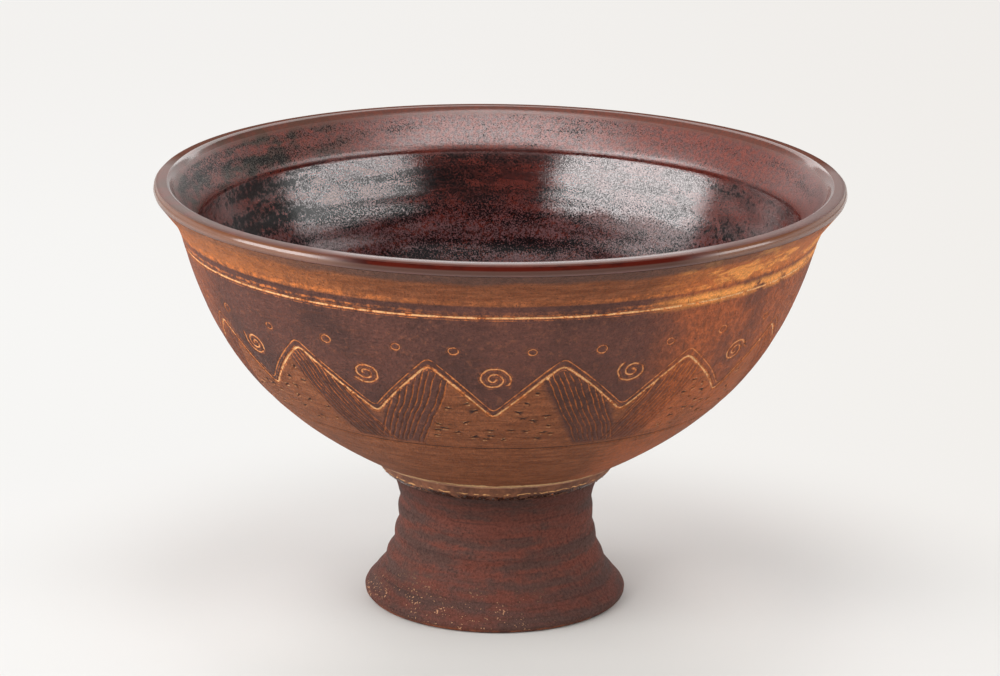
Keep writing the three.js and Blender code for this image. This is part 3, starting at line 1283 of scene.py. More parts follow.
@dataclass
class PlanMesher:
    """Makes the plan a mesh whose points follow every stroke, in metres of the plan."""

    plan: BandPlan
    frieze: Frieze
    around: int
    scatter: Scatter = field(default_factory=Scatter)
    edge_clear: float = 0.7
    filling: float = 3.0
    filling_clear: float = 1.0
    seam_steps: int = 30
    seam_clear: float = 0.8

    SLOPE = 0.62
    CREST = 0.36
    FOOT = 0.8
    ROWS = ((0.0, 0.0), *((side * share, side * extra)
                          for share, extra in ((SLOPE, 0.0), (1.0, 0.0), (1.0, CREST), (1.0, FOOT))
                          for side in (1.0, -1.0)))
    BLUNT_END = 0.45
    END_STEPS = 3.0

    def strokes_mesh(self) -> bpy.types.Mesh:
        """Makes the strokes a mesh of edges that say how wide, deep and bright they are.

        Returns:
            The mesh.
        """
        places: list[tuple[float, float, float]] = []
        edges: list[tuple[int, int]] = []
        sizes: list[tuple[float, float, float]] = []
        for stroke in self.frieze.strokes:
            count = len(stroke.path) - 1
            cut = stroke.tool.value
            for index in range(count):
                edges.append((len(places) + index, len(places) + index + 1))
                share = (index + 0.5) / count
                ends = self.BLUNT_END + min(share, 1.0 - share) * count / self.END_STEPS
                taper = min(1.0, ends) if stroke.taper else 1.0
                press = 1.0 + 0.22 * math.sin(0.83 * index) * math.sin(0.31 * index + 1.0)
                width = cut.half_mm * self.plan.stretch(stroke.path[index][1]) * taper * press
                sizes.append((width * MM, cut.depth_mm * taper * MM,
                              cut.glow * (1.0 - stroke.fade * share)))
            places += [(u * MM, v * MM, 0.0) for u, v in stroke.path]
        mesh = bpy.data.meshes.new("strokes")
        mesh.from_pydata(places, edges, [])
        half_width, depth, glow = zip(*sizes)
        return mark(mesh, "EDGE", half_width=half_width, depth=depth, glow=glow)

    def rows(self, stroke: Stroke, index: int) -> list[Point]:
        """Returns the points across one station of a stroke, the middle one first.

        Args:
            stroke: The stroke.
            index: The station's number along its path.

        Returns:
            The points, one for each row.
        """
        path = stroke.path
        u, v = path[index]
        before, after = path[max(index - 1, 0)], path[min(index + 1, len(path) - 1)]
        if stroke.round_the_pot and index in (0, len(path) - 1):
            before, after = (u - 1.0, v), (u + 1.0, v)
        length = math.dist(before, after) or 1.0
        across = (before[1] - after[1]) / length, (after[0] - before[0]) / length
        half = stroke.tool.value.half_mm * self.plan.stretch(v)
        offsets = [share * half + extra for share, extra in self.ROWS]
        return [(u + across[0] * offset, v + across[1] * offset) for offset in offsets]

    def plan_mesh(self) -> bpy.types.Mesh:
        """Meshes the plan, with each point's place along the outline and how dark its slip is.

        Returns:
            The mesh.
        """
        for u in self.plan.stations(self.around):
            self.scatter.add((u, 0.0), MICRON)
            self.scatter.add((u, self.plan.top), MICRON)
        self.seam()
        lines = self.follow()
        self.fill()
        places, _, faces, *_ = delaunay_2d_cdt([Vector(point) for point in self.scatter.points],
                                               lines, [], 0, MICRON)
        mesh = bpy.data.meshes.new("band_plan")
        mesh.from_pydata([(place.x * MM, place.y * MM, 0.0) for place in places], [], faces)
        upward = [place.y for place in places]
        along = np.interp(upward, self.plan.height, self.plan.along) * MM
        dark = [self.frieze.darkness(place.x, place.y) for place in places]
        return mark(mesh, "POINT", along=list(along), dark=dark)

    def seam(self) -> None:
        """Puts the same points on both ends of the plan, which meet at the back of the pot."""
        levels = [0.0, self.plan.top]
        for stroke in self.frieze.strokes:
            if stroke.round_the_pot:
                levels += [v for _, v in self.rows(stroke, 0)]
        for index in range(1, self.seam_steps):
            level = self.plan.top * index / self.seam_steps
            if min(abs(level - other) for other in levels) > self.seam_clear:
                levels.append(level)
        for level in levels:
            self.scatter.add((-self.plan.half, level))
            self.scatter.add((self.plan.half, level))

    def follow(self) -> list[tuple[int, int]]:
        """Puts points along and beside every stroke, and returns the lines along their middles.

        Returns:
            The numbers of the points that each line joins.
        """
        lines: list[tuple[int, int]] = []
        for stroke in self.frieze.strokes:
            chain = [self.scatter.add(self.rows(stroke, index)[0])
                     for index in range(len(stroke.path))]
            lines += [(a, b) for a, b in zip(chain, chain[1:]) if a != b]
        across, upward = self.plan.half - self.edge_clear, self.plan.top - self.edge_clear
        for row in range(1, len(self.ROWS)):
            for stroke in self.frieze.strokes:
                for index in range(len(stroke.path)):
                    u, v = self.rows(stroke, index)[row]
                    if abs(u) < across and self.edge_clear < v < upward:
                        self.scatter.add((u, v))
        return lines

    def fill(self) -> None:
        """Strews points over the parts that no stroke crosses."""
        rows, columns = int(self.plan.top / self.filling), int(self.plan.width / self.filling)
        limit = self.plan.half - self.filling_clear
        for row in range(1, rows):
            shift = self.filling / 2 if row % 2 else 0.0
            for column in range(1, columns):
                place = (-self.plan.half + self.plan.width * column / columns + shift,
                         self.plan.top * row / rows)
                bare = self.scatter.near(place, self.filling_clear) is None
                if bare and abs(place[0]) < limit:
                    self.scatter.add(place)


class Finish(Bench):
    """A procedural finish: a material whose colour, gloss and relief come from its nodes."""

    name = "finish"
    EVEN = (1.0, 1.0, 1.0)
    colour: Signal

    def __init__(self) -> None:
        """Opens the material, with its shader and its place in millimetres, and paints it."""
        self.material = bpy.data.materials.new(self.name)
        self.material.use_nodes = True
        super().__init__(self.material.node_tree)
        self.tree.nodes.clear()
        spot = self.get("ShaderNodeTexCoord", output="Object")
        self.place = self.vector("SCALE", spot, 1 / MM)
        self.x, self.y, self.z = self.split(self.place)
        self.shader = self.add("ShaderNodeBsdfPrincipled")
        self.add("ShaderNodeOutputMaterial", {"Surface": self.shader.outputs[0]})
        self.paint()

    def paint(self) -> None:
        """Feeds the shader from patterns on the pot."""
        raise NotImplementedError

    def lay(self, *layers: tuple[Feed, Feed]) -> None:
        """Lays colours over the colour so far, each in its share."""
        for colour, share in layers:
            self.colour = self.colour.under(colour, share)

    def grain(self, size: float, detail: float = 2.0, rough: float = 0.5,
              squeeze: tuple[float, float, float] = EVEN) -> Signal:
        """Gives soft noise on the pot.

        Args:
            size: About how wide one blotch of it is, in millimetres.
            detail: How many finer layers lie on the first.
            rough: How strong the finer layers are.
            squeeze: How much of each axis counts; a small share draws the noise out along it.

        Returns:
            The noise, about 0.5 in the middle.
        """
        place = self.place
        if squeeze != self.EVEN:
            place = self.vector("MULTIPLY", place, squeeze)
        return self.noise(place, size, detail, rough)

    def ragged(self, amount: float, size: float, detail: float = 2.0,
               rough: float = 0.5) -> Signal:
        """Returns the height, strayed by noise of one grain size, for a ragged edge."""
        return self.z + (self.grain(size, detail, rough) - 0.5) * amount

    def spoke(self) -> Signal:
        """Returns the way straight out from the axis."""
        return self.vector("NORMALIZE", self.join(self.x, self.y, 0.0))

    def facing(self, turn_degrees: float, narrow: float, wide: float) -> Signal:
        """Marks the part of the pot that lies towards one side.

        Args:
            turn_degrees: The side, in degrees to the right of the front.
            narrow: The cosine at which the mark is full.
            wide: The cosine at which it is gone.

        Returns:
            The mark, from 0 to 1.
        """
        turn = math.radians(turn_degrees)
        side = (math.sin(turn), -math.cos(turn), 0.0)
        return self.vector("DOT_PRODUCT", self.spoke(), side).ease(wide, narrow)

    def outward(self) -> Signal:
        """Returns how far the surface faces away from the pot's axis, from -1 to 1."""
        normal = self.get("ShaderNodeNewGeometry", output="Normal")
        return self.vector("DOT_PRODUCT", normal, self.spoke())

    def noted(self, name: str) -> Signal:
        """Returns what the piece's points say under a name."""
        return self.get("ShaderNodeAttribute", output="Fac", attribute_name=name)

    def shaded(self, shade: Feed) -> Signal:
        """Returns the colour so far, made darker or lighter."""
        return self.vector("MULTIPLY", self.colour, self.join(shade, shade, shade))

    def feed(self, feeds: Feeds) -> None:
        """Fills the shader's sockets."""
        for name, value in feeds.items():
            self.fill(self.shader.inputs[name], value)

    def relief(self, *layers: tuple[Signal, float]) -> None:
        """Adds relief to the surface, layer by layer.

        Args:
            *layers: Each layer's pattern and its height in metres.
        """
        feeds: Feeds = {}
        for pattern, height in layers:
            feeds |= {"Strength": 1.0, "Distance": height, "Height": pattern}
            feeds = {"Normal": self.get("ShaderNodeBump", feeds)}
        self.feed(feeds)


class SlipFinish(Finish):
    """Brushed iron slip: brown and plum fields, worn to ochre where it was cut."""

    name = "brushed_iron_slip"
    PLUM = paint(89, 55, 47)
    PLUM_DEEP = paint(70, 45, 40)
    BROWN = paint(107, 59, 35)
    BROWN_LIGHT = paint(135, 81, 52)
    RUST = paint(170, 90, 50)
    ORANGE = paint(196, 116, 58)
    OCHRE = paint(212, 165, 116)
    CREAM = paint(214, 176, 128)
    AMBER = paint(226, 150, 78)
    OCHRE_DEEP = paint(190, 108, 54)
    # Dark specks of soot, and also painted shade in the pricked pits and the lower ring's groove.
    SOOT_AND_SHADE = paint(48, 32, 30)
    LIP = paint(80, 59, 53)

    def paint(self) -> None:
        """Lays the fields by height, the blush by side, the wear and the strokes."""
        self.brushed = self.grain(0.55, 3.0, 0.65, (0.09, 0.09, 1.0))
        self.cloud = self.grain(16.0, 3.0, 0.6)
        self.patch = self.grain(5.0, 3.0, 0.6)
        self.mottle = self.grain(1.3, 4.0, 0.72)
        self.mottled = self.mottle.ease(0.38, 0.62)
        self.torn = self.ragged(1.5, 1.8, 2.0, 0.6)
        self.flare = self.torn.ease(148.0, 149.6)
        self.right = self.facing(76.0, 0.80, 0.62)
        self.chips = self.grain(1.5, 3.0, 0.75).ease(0.34, 0.52)
        self.fields()
        self.bright_lines()
        self.rubbed_places()
        self.strokes()
        self.lip_and_specks()
        fine = self.grain(0.5, 3.0, 0.75)
        shade = fine.ease(0.28, 0.72, 0.66, 1.34) * self.mottle.ease(0.3, 0.7, 0.88, 1.12)
        self.feed({"Base Color": self.shaded(shade), "Specular IOR Level": 0.18,
                   "Roughness": fine.ease(0.3, 0.7, 0.52, 0.76)})
        self.relief((self.brushed, 0.0004), (fine, 0.0006), (self.mottle, 0.0008))

    def fields(self) -> None:
        """Lays brown, plum in the band, a warm flare, and a blush of rust on both sides."""
        brown = self.blend(self.brushed.ease(0.3, 0.72), self.BROWN, self.BROWN_LIGHT)
        plum = self.blend(self.cloud.ease(0.35, 0.68), self.PLUM, self.PLUM_DEEP)
        plum = plum.under(self.BROWN, self.brushed.ease(0.5, 0.8) * 0.3)
        plum = plum.under(self.BROWN_LIGHT, self.mottle.ease(0.54, 0.7) * 0.28)
        in_band = self.z.ease(85.2, 85.8) * self.z.ease(148.4, 147.6)
        streaks = self.grain(2.2, 2.0, squeeze=(0.05, 0.05, 0.6))
        warm = streaks * 0.5 + (self.patch * 0.3 + self.mottle * 0.3)
        sides = self.facing(82.0, 0.72, 0.52).at_least(self.facing(-82.0, 0.78, 0.34) * 0.5)
        flare = brown.under(self.ORANGE, sides * warm.ease(0.42, 0.66, 0.3, 0.85))
        blush = self.right.at_least(self.facing(-104.0, 0.88, 0.66) * 0.75)
        blush = blush * (self.cloud + self.patch * 0.4).ease(0.52, 0.78, 0.25)
        blush = blush * (self.mottled * 0.4 + 0.65)
        self.colour = brown
        self.lay((plum, self.noted("dark").at_least(self.z.ease(142.8, 143.4)) * in_band),
                 (flare, self.flare), (self.RUST, blush * 0.7))

    def bright_lines(self) -> None:
        """Lays the broken ochre line at the flare's edge, its echo below and the seat's line."""
        sides = self.facing(80.0, 0.70, 0.40).at_least(self.facing(-80.0, 0.78, 0.25))
        for line, gain, least in ((self.torn.line(149.2, 1.5, 0.3), 0.75, 0.2),
                                  (self.torn.line(145.4, 0.7, 0.2), 0.7, 0.15)):
            self.lay((self.OCHRE_DEEP, line * self.mottled * (sides * gain + least)))
        seat = self.ragged(3.2, 2.2, 3.0, 0.7).ease(59.7, 59.2) * self.patch.ease(0.34, 0.46)
        self.lay((self.CREAM, seat * 0.8))

    def rubbed_places(self) -> None:
        """Lays amber at the right, where the flare and the upper ring were rubbed."""
        streaks = self.grain(3.2, 3.0, 0.6, (0.35, 0.35, 1.0)).ease(0.51, 0.60)
        smudge = self.torn.line(144.4, 3.4, 0.8) * self.right
        smudge = smudge * (self.patch + self.mottle * 0.5).ease(0.56, 0.74)
        self.lay((self.AMBER, self.flare * self.right * streaks * 0.8),
                 (self.AMBER, smudge * 0.9))

    def strokes(self) -> None:
        """Lays bare ochre in the bright cuts and soot along the burrs, and darkens the dull groove
        of the lower ring and the pricked pits as painted shade.
        """
        cut, glow = self.noted("cut"), self.noted("glow")
        groove = cut.at_least(0.0)
        worn = (groove * (self.chips * 0.9 + 0.35) * (glow + 0.08)).ease(0.05, 0.6)
        bare = groove.ease(0.35, 0.85) * self.chips
        ochre = self.blend((glow * bare).ease(0.3, 0.85), self.OCHRE_DEEP, self.OCHRE)
        burr = cut.ease(-0.35, -0.95)
        scuffed = burr * self.mottled * glow.ease(0.4, 0.9, 0.0, 0.8)
        # Painted shade: the dull groove of the lower ring is darkened.
        dull = cut.ease(0.2, 0.9) * glow.ease(0.45, 0.25) * self.z.ease(88.0, 87.0)
        # Painted shade: the pricked pits are darkened.
        pricked = glow.ease(-0.1, -0.5)
        chipped = pricked * cut.ease(-0.6, -0.95, 0.0, 0.8) * self.chips
        self.lay((ochre, worn), (self.SOOT_AND_SHADE, burr * 0.25), (self.OCHRE_DEEP, scuffed),
                 (self.SOOT_AND_SHADE, dull), (self.SOOT_AND_SHADE, pricked * groove.ease(0.05, 0.6)),
                 (self.OCHRE, chipped))

    def lip_and_specks(self) -> None:
        """Lays a grey-plum band under the lip, strongest in front, and specks of soot all over."""
        lip = self.ragged(3.0, 9.0).ease(156.4, 158.8)
        self.lay((self.LIP, lip * (self.facing(4.0, 0.90, 0.55) * 0.50 + 0.30)),
                 (self.SOOT_AND_SHADE, self.grain(0.5, 1.0).ease(0.66, 0.74) * 0.75))


class GlazeFinish(Finish):
    """Glossy red-brown glaze, banded and speckled with matte black, with mauve crystals."""

    name = "dark_crystal_glaze"
    RED = paint(92, 35, 26)
    RED_DEEP = paint(64, 24, 19)
    ROSE = paint(118, 60, 50)
    ROSE_DUSKY = paint(88, 56, 52)
    BLACK = paint(13, 9, 10)
    MAUVE = paint(98, 66, 67)
    OLIVE = paint(60, 54, 46)
    RIM_BROWN = paint(92, 60, 50)
    LAP_RED = paint(66, 20, 13)
    LAP_PLUM = paint(76, 55, 49)
    LAP_BROWN = paint(104, 66, 47)

    def paint(self) -> None:
        """Lays the colour, the gloss and a faint relief, which is calmer on the lip."""
        self.blotch = self.grain(2.6, 3.0, 0.65, (0.4, 0.4, 1.0))
        self.speck = self.grain(0.29, 2.0, 0.7)
        self.soft = self.grain(0.75, 2.0, 0.65)
        self.fine = self.grain(0.28, 1.5, 0.7).ease(0.42, 0.60)
        self.aside = abs(self.x)
        self.lip = self.z.ease(160.5, 162.5)
        self.above = self.z.ease(148.6, 149.8)
        self.burnt = self.above * self.facing(-98.0, 0.90, 0.45)
        outward = self.outward()
        self.rim = outward.ease(-0.35, -0.15) * self.lip
        self.lap = outward.ease(0.56, 0.70) * self.rim
        self.in_front = self.facing(4.0, 0.92, 0.80)
        self.beyond = self.rim * self.y.ease(-30.0, 30.0)
        self.calm = 1.0 - self.lip * 0.7
        self.blacken()
        self.wall()
        self.rim_and_lap()
        self.gloss()
        self.feed({"Base Color": self.colour, "IOR": 1.88})
        self.relief((self.speck * self.calm, 0.00004), (self.soft * self.calm, 0.00003))

    def blacken(self) -> None:
        """Marks where matte black covers the glaze: bands, specks and the burnt side."""
        below = 1.0 - self.above
        shallow = self.z.ease(122.0, 130.0) * below
        edgeways = self.aside.ease(62.0, 92.0, 0.0, 0.8) * below
        band = self.grain(2.4, 2.0, 0.6, (0.08, 0.08, 0.8))
        cover = (band - 0.53) * 0.45 + (self.blotch - 0.5) * 0.35
        cover = cover.at_least(-0.09).at_most(0.085)
        cover = cover * (1.0 - shallow * self.x.ease(15.0, 45.0, 0.0, 0.5))
        for place, amount in ((self.z.ease(130.0, 104.0), 0.045), (self.above, -0.06),
                              (self.x.ease(40.0, -50.0, -0.034, 0.028), shallow),
                              (self.burnt, 0.075), (self.lip, -0.16),
                              (self.z.line(148.6, 2.2, 0.8), -0.10),
                              (self.x.ease(-60.0, -85.0, 0.0, 0.04), edgeways),
                              (self.x.ease(5.0, 35.0, 0.0, 0.045), self.z.ease(137.0, 128.0))):
            cover = cover + place * amount
        coarse = self.grain(1.15, 3.0, 0.75)
        mottle = (coarse - self.speck) * edgeways + self.speck
        self.night = (mottle + cover).ease(0.49, 0.59)

    def wall(self) -> None:
        """Lays red with crystals below, rose above, and the black over both."""
        self.colour = self.blend(self.blotch.ease(0.38, 0.6), self.RED, self.RED_DEEP)
        rose = self.blend(self.soft.ease(0.40, 0.60), self.ROSE, self.ROSE_DUSKY)
        crystals = self.soft.ease(0.38, 0.54) * (self.z.ease(136.0, 114.0) * 0.88 + 0.10)
        self.lay((rose, self.above * self.y.ease(-60.0, 60.0)), (self.MAUVE, crystals),
                 (self.OLIVE, self.burnt * self.blotch.ease(0.40, 0.62)),
                 (self.BLACK, self.fine * (self.above * -0.3 + 0.5)), (self.BLACK, self.night))

    def rim_and_lap(self) -> None:
        """Lays brown on the rim, and red and plum where the glaze laps over it in front."""
        lap_red = self.blend(self.blotch.ease(0.45, 0.62, 0.0, 0.5), self.LAP_RED, self.BLACK)
        lap = self.blend(self.in_front, self.LAP_BROWN, self.LAP_PLUM)
        lap = lap.under(lap_red, self.z.ease(163.0, 163.6) * self.in_front)
        self.lay((self.RIM_BROWN, self.lip * 0.6), (lap, self.lap),
                 (self.RIM_BROWN, self.beyond * 0.6))

    def gloss(self) -> None:
        """Makes the glaze glossy, but dull in its depth, in the black and on the lap."""
        crest = self.rim - self.lap
        matte = self.lap * (self.in_front * 0.75 + 0.25)
        matte = matte.at_least(crest * ((1.0 - self.in_front) * 0.43 + 0.35))
        matte = matte.at_least(self.beyond)
        satin = self.above * self.z.ease(163.4, 162.0)
        rough = self.night * 0.08 + 0.09 + satin * 0.24
        dull = (self.night * 0.72).at_least(self.fine * self.calm * 0.45)
        level = self.blotch * 6.0 + self.z + (self.speck * -14.0 + 14.0)
        deep = level.ease(139.0, 134.0) * self.aside.ease(66.0, 30.0, 0.64, 0.90)
        for cause in (deep, self.above * self.aside.ease(40.0, 95.0, 0.0, 0.35)):
            dull = 1.0 - (1.0 - dull) * (1.0 - cause)
        self.feed({"Roughness": rough.at_least(matte * 0.6),
                   "Specular IOR Level": dull.at_least(matte) * -0.5 + 0.5})


class PedestalFinish(Finish):
    """Matte rust-red stoneware with grey-purple bands and ochre grit near its base."""

    name = "rusty_foot_stoneware"
    # These colours are darkened as painted shade for the shade that the bowl casts on the foot.
    RUST = paint(98, 52, 41)
    PURPLE = paint(76, 52, 46)
    DARK = paint(47, 32, 29)
    GRIT = paint(196, 146, 112)
    EDGE = paint(136, 76, 48)

    def paint(self) -> None:
        """Lays the bands, the granules, the grit, and painted shade that darkens the foot towards
        the bowl above it.
        """
        band = self.grain(2.3, 3.0, 0.6, (0.11, 0.11, 1.0))
        blotch = self.grain(2.6, 4.0, 0.68)
        granule = self.grain(0.5, 3.0, 0.78)
        thrown = self.grain(0.8, 2.0, 0.6, (0.03, 0.03, 1.0))
        mix = band * 0.62 + (blotch * 0.26 + granule * 0.12)
        low = self.z.ease(20.0, 5.0)
        crumbs = (self.grain(0.5, 1.5, 0.6) + (self.grain(5.0) - 0.5) * 0.4).ease(0.655, 0.70)
        rim = self.z.ease(1.9, 0.9) * blotch.ease(0.40, 0.6)
        self.colour = self.blend(mix.ease(0.42, 0.58), self.RUST, self.PURPLE)
        self.lay((self.DARK, granule.ease(0.55, 0.72) * 0.5),
                 # Painted shade: the foot grows darker towards its top, under the bowl.
                 (self.DARK, self.z.ease(30.0, 50.0, 0.0, 0.52)),
                 (self.DARK, thrown.ease(0.56, 0.70, 0.0, 0.45)), (self.DARK, low * 0.3),
                 (self.GRIT, crumbs * (low * self.facing(-38.0, 0.92, 0.2)) * 0.85),
                 (self.EDGE, rim * 0.8))
        self.feed({"Base Color": self.shaded(granule.ease(0.28, 0.72, 1.26, 0.74)),
                   "Roughness": granule.ease(0.3, 0.7, 0.62, 0.84), "Specular IOR Level": 0.16})
        self.relief((band, 0.0004), (granule, 0.0004), (blotch, 0.0005))


class JointFinish(Finish):
    """The wiped clay coil at the joint: brown, with a broken ochre line and run glaze below."""

    name = "wiped_joint_clay"
    CLAY = paint(114, 71, 49)
    CLAY_DARK = paint(84, 51, 38)
    OCHRE = paint(214, 160, 104)
    RUN = paint(52, 28, 20)
    LINE_LEVEL = 53.6
    RUN_LEVEL = 52.6

    def paint(self) -> None:
        """Lays the clay's blotches, the broken line and the run glaze under it."""
        blotch = self.grain(3.0, 3.0, 0.6)
        granule = self.grain(0.6, 3.0, 0.75)
        level = self.ragged(1.7, 1.6)
        line = level.line(self.LINE_LEVEL, 0.32, 0.08) * self.grain(1.5).ease(0.45, 0.55)
        wet = level.ease(self.RUN_LEVEL + 0.5, self.RUN_LEVEL)
        wet = wet * self.grain(2.0, 3.0, 0.6).ease(0.40, 0.50)
        self.colour = self.blend(blotch.ease(0.35, 0.65), self.CLAY, self.CLAY_DARK)
        self.lay((self.RUN, wet), (self.OCHRE, line * 0.85))
        self.feed({"Base Color": self.shaded(granule.ease(0.28, 0.72, 0.78, 1.2)),
                   "Roughness": wet * -0.42 + 0.64, "Specular IOR Level": 0.25})
        self.relief((granule, 0.0004), (blotch, 0.0008))


class ClayFinish(Finish):
    """Raw fired stoneware clay, with grog in it."""

    name = "raw_stoneware_clay"
    CLAY = paint(150, 104, 78)
    CLAY_DARK = paint(122, 82, 62)
    GROG = paint(196, 164, 130)

    def paint(self) -> None:
        """Lays the clay's clouds and the grog."""
        granule = self.grain(0.6, 2.0, 0.7)
        cloud = self.grain(6.0, 3.0, 0.6).ease(0.35, 0.65)
        self.colour = self.blend(cloud, self.CLAY, self.CLAY_DARK)
        self.lay((self.GROG, granule.ease(0.62, 0.7) * 0.6))
        self.feed({"Base Color": self.colour, "Roughness": granule.ease(0.3, 0.7, 0.7, 0.9)})
        self.relief((granule, 0.0003))


class BeadFinish(Finish):
    """Beads of run glaze, from amber to nearly black."""

    name = "run_glaze_beads"
    AMBER = paint(140, 76, 36)
    BLACK = paint(34, 20, 16)

    def paint(self) -> None:
        """Lays amber among the black."""
        blotch = self.grain(1.6)
        self.feed({"Base Color": self.blend(blotch.ease(0.52, 0.6), self.BLACK, self.AMBER),
                   "Roughness": blotch.ease(0.3, 0.7, 0.1, 0.25), "IOR": 1.6})


class FloorFinish(Finish):
    """The pale paper that the pot stands on."""

    name = "pale_paper"
    PAPER = paint(214, 213, 211)
    # Lighter paper to the right is painted light; darker paper in front is painted shade.
    PAPER_LIT_RIGHT = paint(224, 221, 218)
    PAPER_SHADED_FRONT = paint(201, 200, 198)
    # The grey of a painted shadow round the foot.
    PAINTED_SHADOW = paint(189, 188, 185)
    FAR = paint(245, 244, 242)
    FAR_RIGHT = paint(239, 236, 232)
    HORIZON = paint(236, 233, 230)
    BLACK = paint(0, 0, 0)
    SHADOW_CENTRE = (18.0, -92.0, 0.0)

    def paint(self) -> None:
        """Lays a faint cloud over the paper, paints it lighter to the right as painted light,
        darker in front as painted shade and round the foot as a painted shadow, and lets it glow
        pale far from the pot.
        """
        distance = self.vector("LENGTH", self.place)
        # Painted shadow: the paper is darker round a place just in front of the foot.
        foot = self.vector("LENGTH", self.vector("SUBTRACT", self.place, self.SHADOW_CENTRE))
        seen = self.get("ShaderNodeLightPath", output="Is Camera Ray")
        reach = distance + self.y.ease(60.0, 210.0, 0.0, 50.0)
        share = reach.ease(110.0, 270.0) * seen
        far = self.blend(self.x.ease(-260.0, 420.0), self.FAR, self.FAR_RIGHT)
        # Painted light: the paper is lighter towards the right, under a faint cloud.
        side = self.x.ease(-60.0, 120.0) + self.grain(300.0).ease(0.3, 0.7, -0.1, 0.1)
        # Painted shade: the paper is darker in front, away from the foot.
        away = distance.ease(60.0, 130.0) * self.y.ease(120.0, 0.0)
        self.colour = self.blend(side, self.PAPER, self.PAPER_LIT_RIGHT)
        self.lay((self.PAPER_SHADED_FRONT, away), (self.PAINTED_SHADOW, foot.ease(150.0, 40.0)),
                 (self.BLACK, share))
        glow = far.under(self.HORIZON, self.y.ease(300.0, 1100.0, 0.0, 0.45))
        self.feed({"Base Color": self.colour, "Roughness": 0.9, "Specular IOR Level": 0.1,
                   "Emission Strength": share, "Emission Color": glow})


@dataclass(frozen=True)
class Softbox:
    """A soft lamp as the pot sees it: where it stands, how wide it looks and how bright."""

    name: str
    side: float
    side_span: float
    rise: float
    rise_span: float
    radiance: float
    distance: float = 1.7

    def hang(self, centre: Vector) -> None:
        """Hangs the lamp, turned to the pot.

        Args:
            centre: The place that the lamp looks at.
        """
        side, rise = math.radians(self.side), math.radians(self.rise)
        away = Vector((math.sin(side) * math.cos(rise), -math.cos(side) * math.cos(rise),
                       math.sin(rise)))
        lamp = bpy.data.lights.new(self.name, "AREA")
        lamp.shape = "RECTANGLE"
        lamp.size = self.width(self.side_span) * math.cos(rise)
        lamp.size_y = self.width(self.rise_span)
        lamp.energy = self.radiance * math.pi * lamp.size * lamp.size_y
        holder = linked(self.name, lamp)
        holder.location = centre + away * self.distance
        holder.rotation_euler = (-away).to_track_quat("-Z", "Y").to_euler()

    def width(self, span: float) -> float:
        """Returns how wide the lamp is that looks so many degrees wide."""
        return 2 * self.distance * math.tan(math.radians(span) / 2)


@dataclass
class Studio:
    """The floor, the lamps, the dim room and the camera."""

    floor_half: float = 9.0
    eye: tuple[float, float, float] = (0.001, -1.359, 0.4994)
    aim: tuple[float, float, float] = (0.001, 0.0, 0.1017)
    lamp_aim: tuple[float, float, float] = (0.0, 0.0, 0.1)
    lens_mm: float = 133.45
    sensor_mm: float = 36.0
    sight: float = 60.0
    roll_degrees: float = 0.64
    room: Colour = (0.06, 0.06, 0.06, 1.0)
    sweep: Colour = (0.86, 0.855, 0.85, 1.0)
    lamps: tuple[Softbox, ...] = (
        Softbox("right_softbox", side=66.0, side_span=60.0, rise=19.0, rise_span=23.0,
                radiance=4.2),
        Softbox("left_softbox", side=-60.0, side_span=66.0, rise=21.0, rise_span=32.0,
                radiance=6.6),
        Softbox("top_light", side=0.0, side_span=104.0, rise=59.0, rise_span=19.0,
                radiance=5.8),
        Softbox("back_light", side=180.0, side_span=84.0, rise=45.0, rise_span=52.0,
                radiance=1.9),
    )

    def build(self) -> None:
        """Sets up everything round the pot."""
        self.lay_floor()
        for lamp in self.lamps:
            lamp.hang(Vector(self.lamp_aim))
        self.light_room()
        self.set_camera()
        bpy.context.scene.view_settings.view_transform = "Standard"

    def lay_floor(self) -> None:
        """Lays the floor at the pot's foot."""
        mesh = bpy.data.meshes.new("floor")
        half = self.floor_half
        mesh.from_pydata([(-half, -half, 0.0), (half, -half, 0.0), (half, half, 0.0),
                          (-half, half, 0.0)], [], [(0, 1, 2, 3)])
        mesh.materials.append(FloorFinish().material)
        floor = linked("floor", mesh)

    def light_room(self) -> None:
        """Makes the world: a pale sweep low down and a dim room above it."""
        world = bpy.data.worlds.new("studio_room")
        bpy.context.scene.world = world
        world.use_nodes = True
        world.node_tree.nodes.clear()
        bench = Bench(world.node_tree)
        _, depth, rise = bench.split(bench.get("ShaderNodeTexCoord", output="Generated"))
        top = rise - depth.ease(-0.1, 0.55, 0.0, 0.22)
        colour = bench.blend(top.ease(0.08, 0.30), self.sweep, self.room)
        back = bench.get("ShaderNodeBackground", {"Color": colour})
        bench.add("ShaderNodeOutputWorld", {"Surface": back})

    def set_camera(self) -> None:
        """Sets the camera at the photograph's angle."""
        camera = bpy.data.cameras.new("camera")
        camera.lens = self.lens_mm
        camera.sensor_width = self.sensor_mm
        camera.clip_end = self.sight
        holder = linked("camera", camera)
        way = Vector(self.aim) - Vector(self.eye)
        turn = way.to_track_quat("-Z", "Y").to_matrix().to_4x4()
        roll = Matrix.Rotation(math.radians(self.roll_degrees), 4, "Z")
        holder.matrix_world = Matrix.Translation(self.eye) @ turn @ roll
        bpy.context.scene.camera = holder


@dataclass(frozen=True)
class Coat:
    """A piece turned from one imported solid: its names, its finish and its spacings."""

    name: str
    node: str
    slot: str
    finish: type[Finish]
    around: int
    fine: float
    coarse: float
    buried: Facing = Facing.NOWHERE
    ridges: Ridges = Ridges()

    def outline(self, nodes: dict[str, bpy.types.Object]) -> Outline:
        """Returns the solid's outline, smoothed, with its nicks filled."""
        outline = Outline.of_solid(nodes[self.node]).without_nicks()
        return outline.smoothed(self.fine, self.coarse, self.buried)


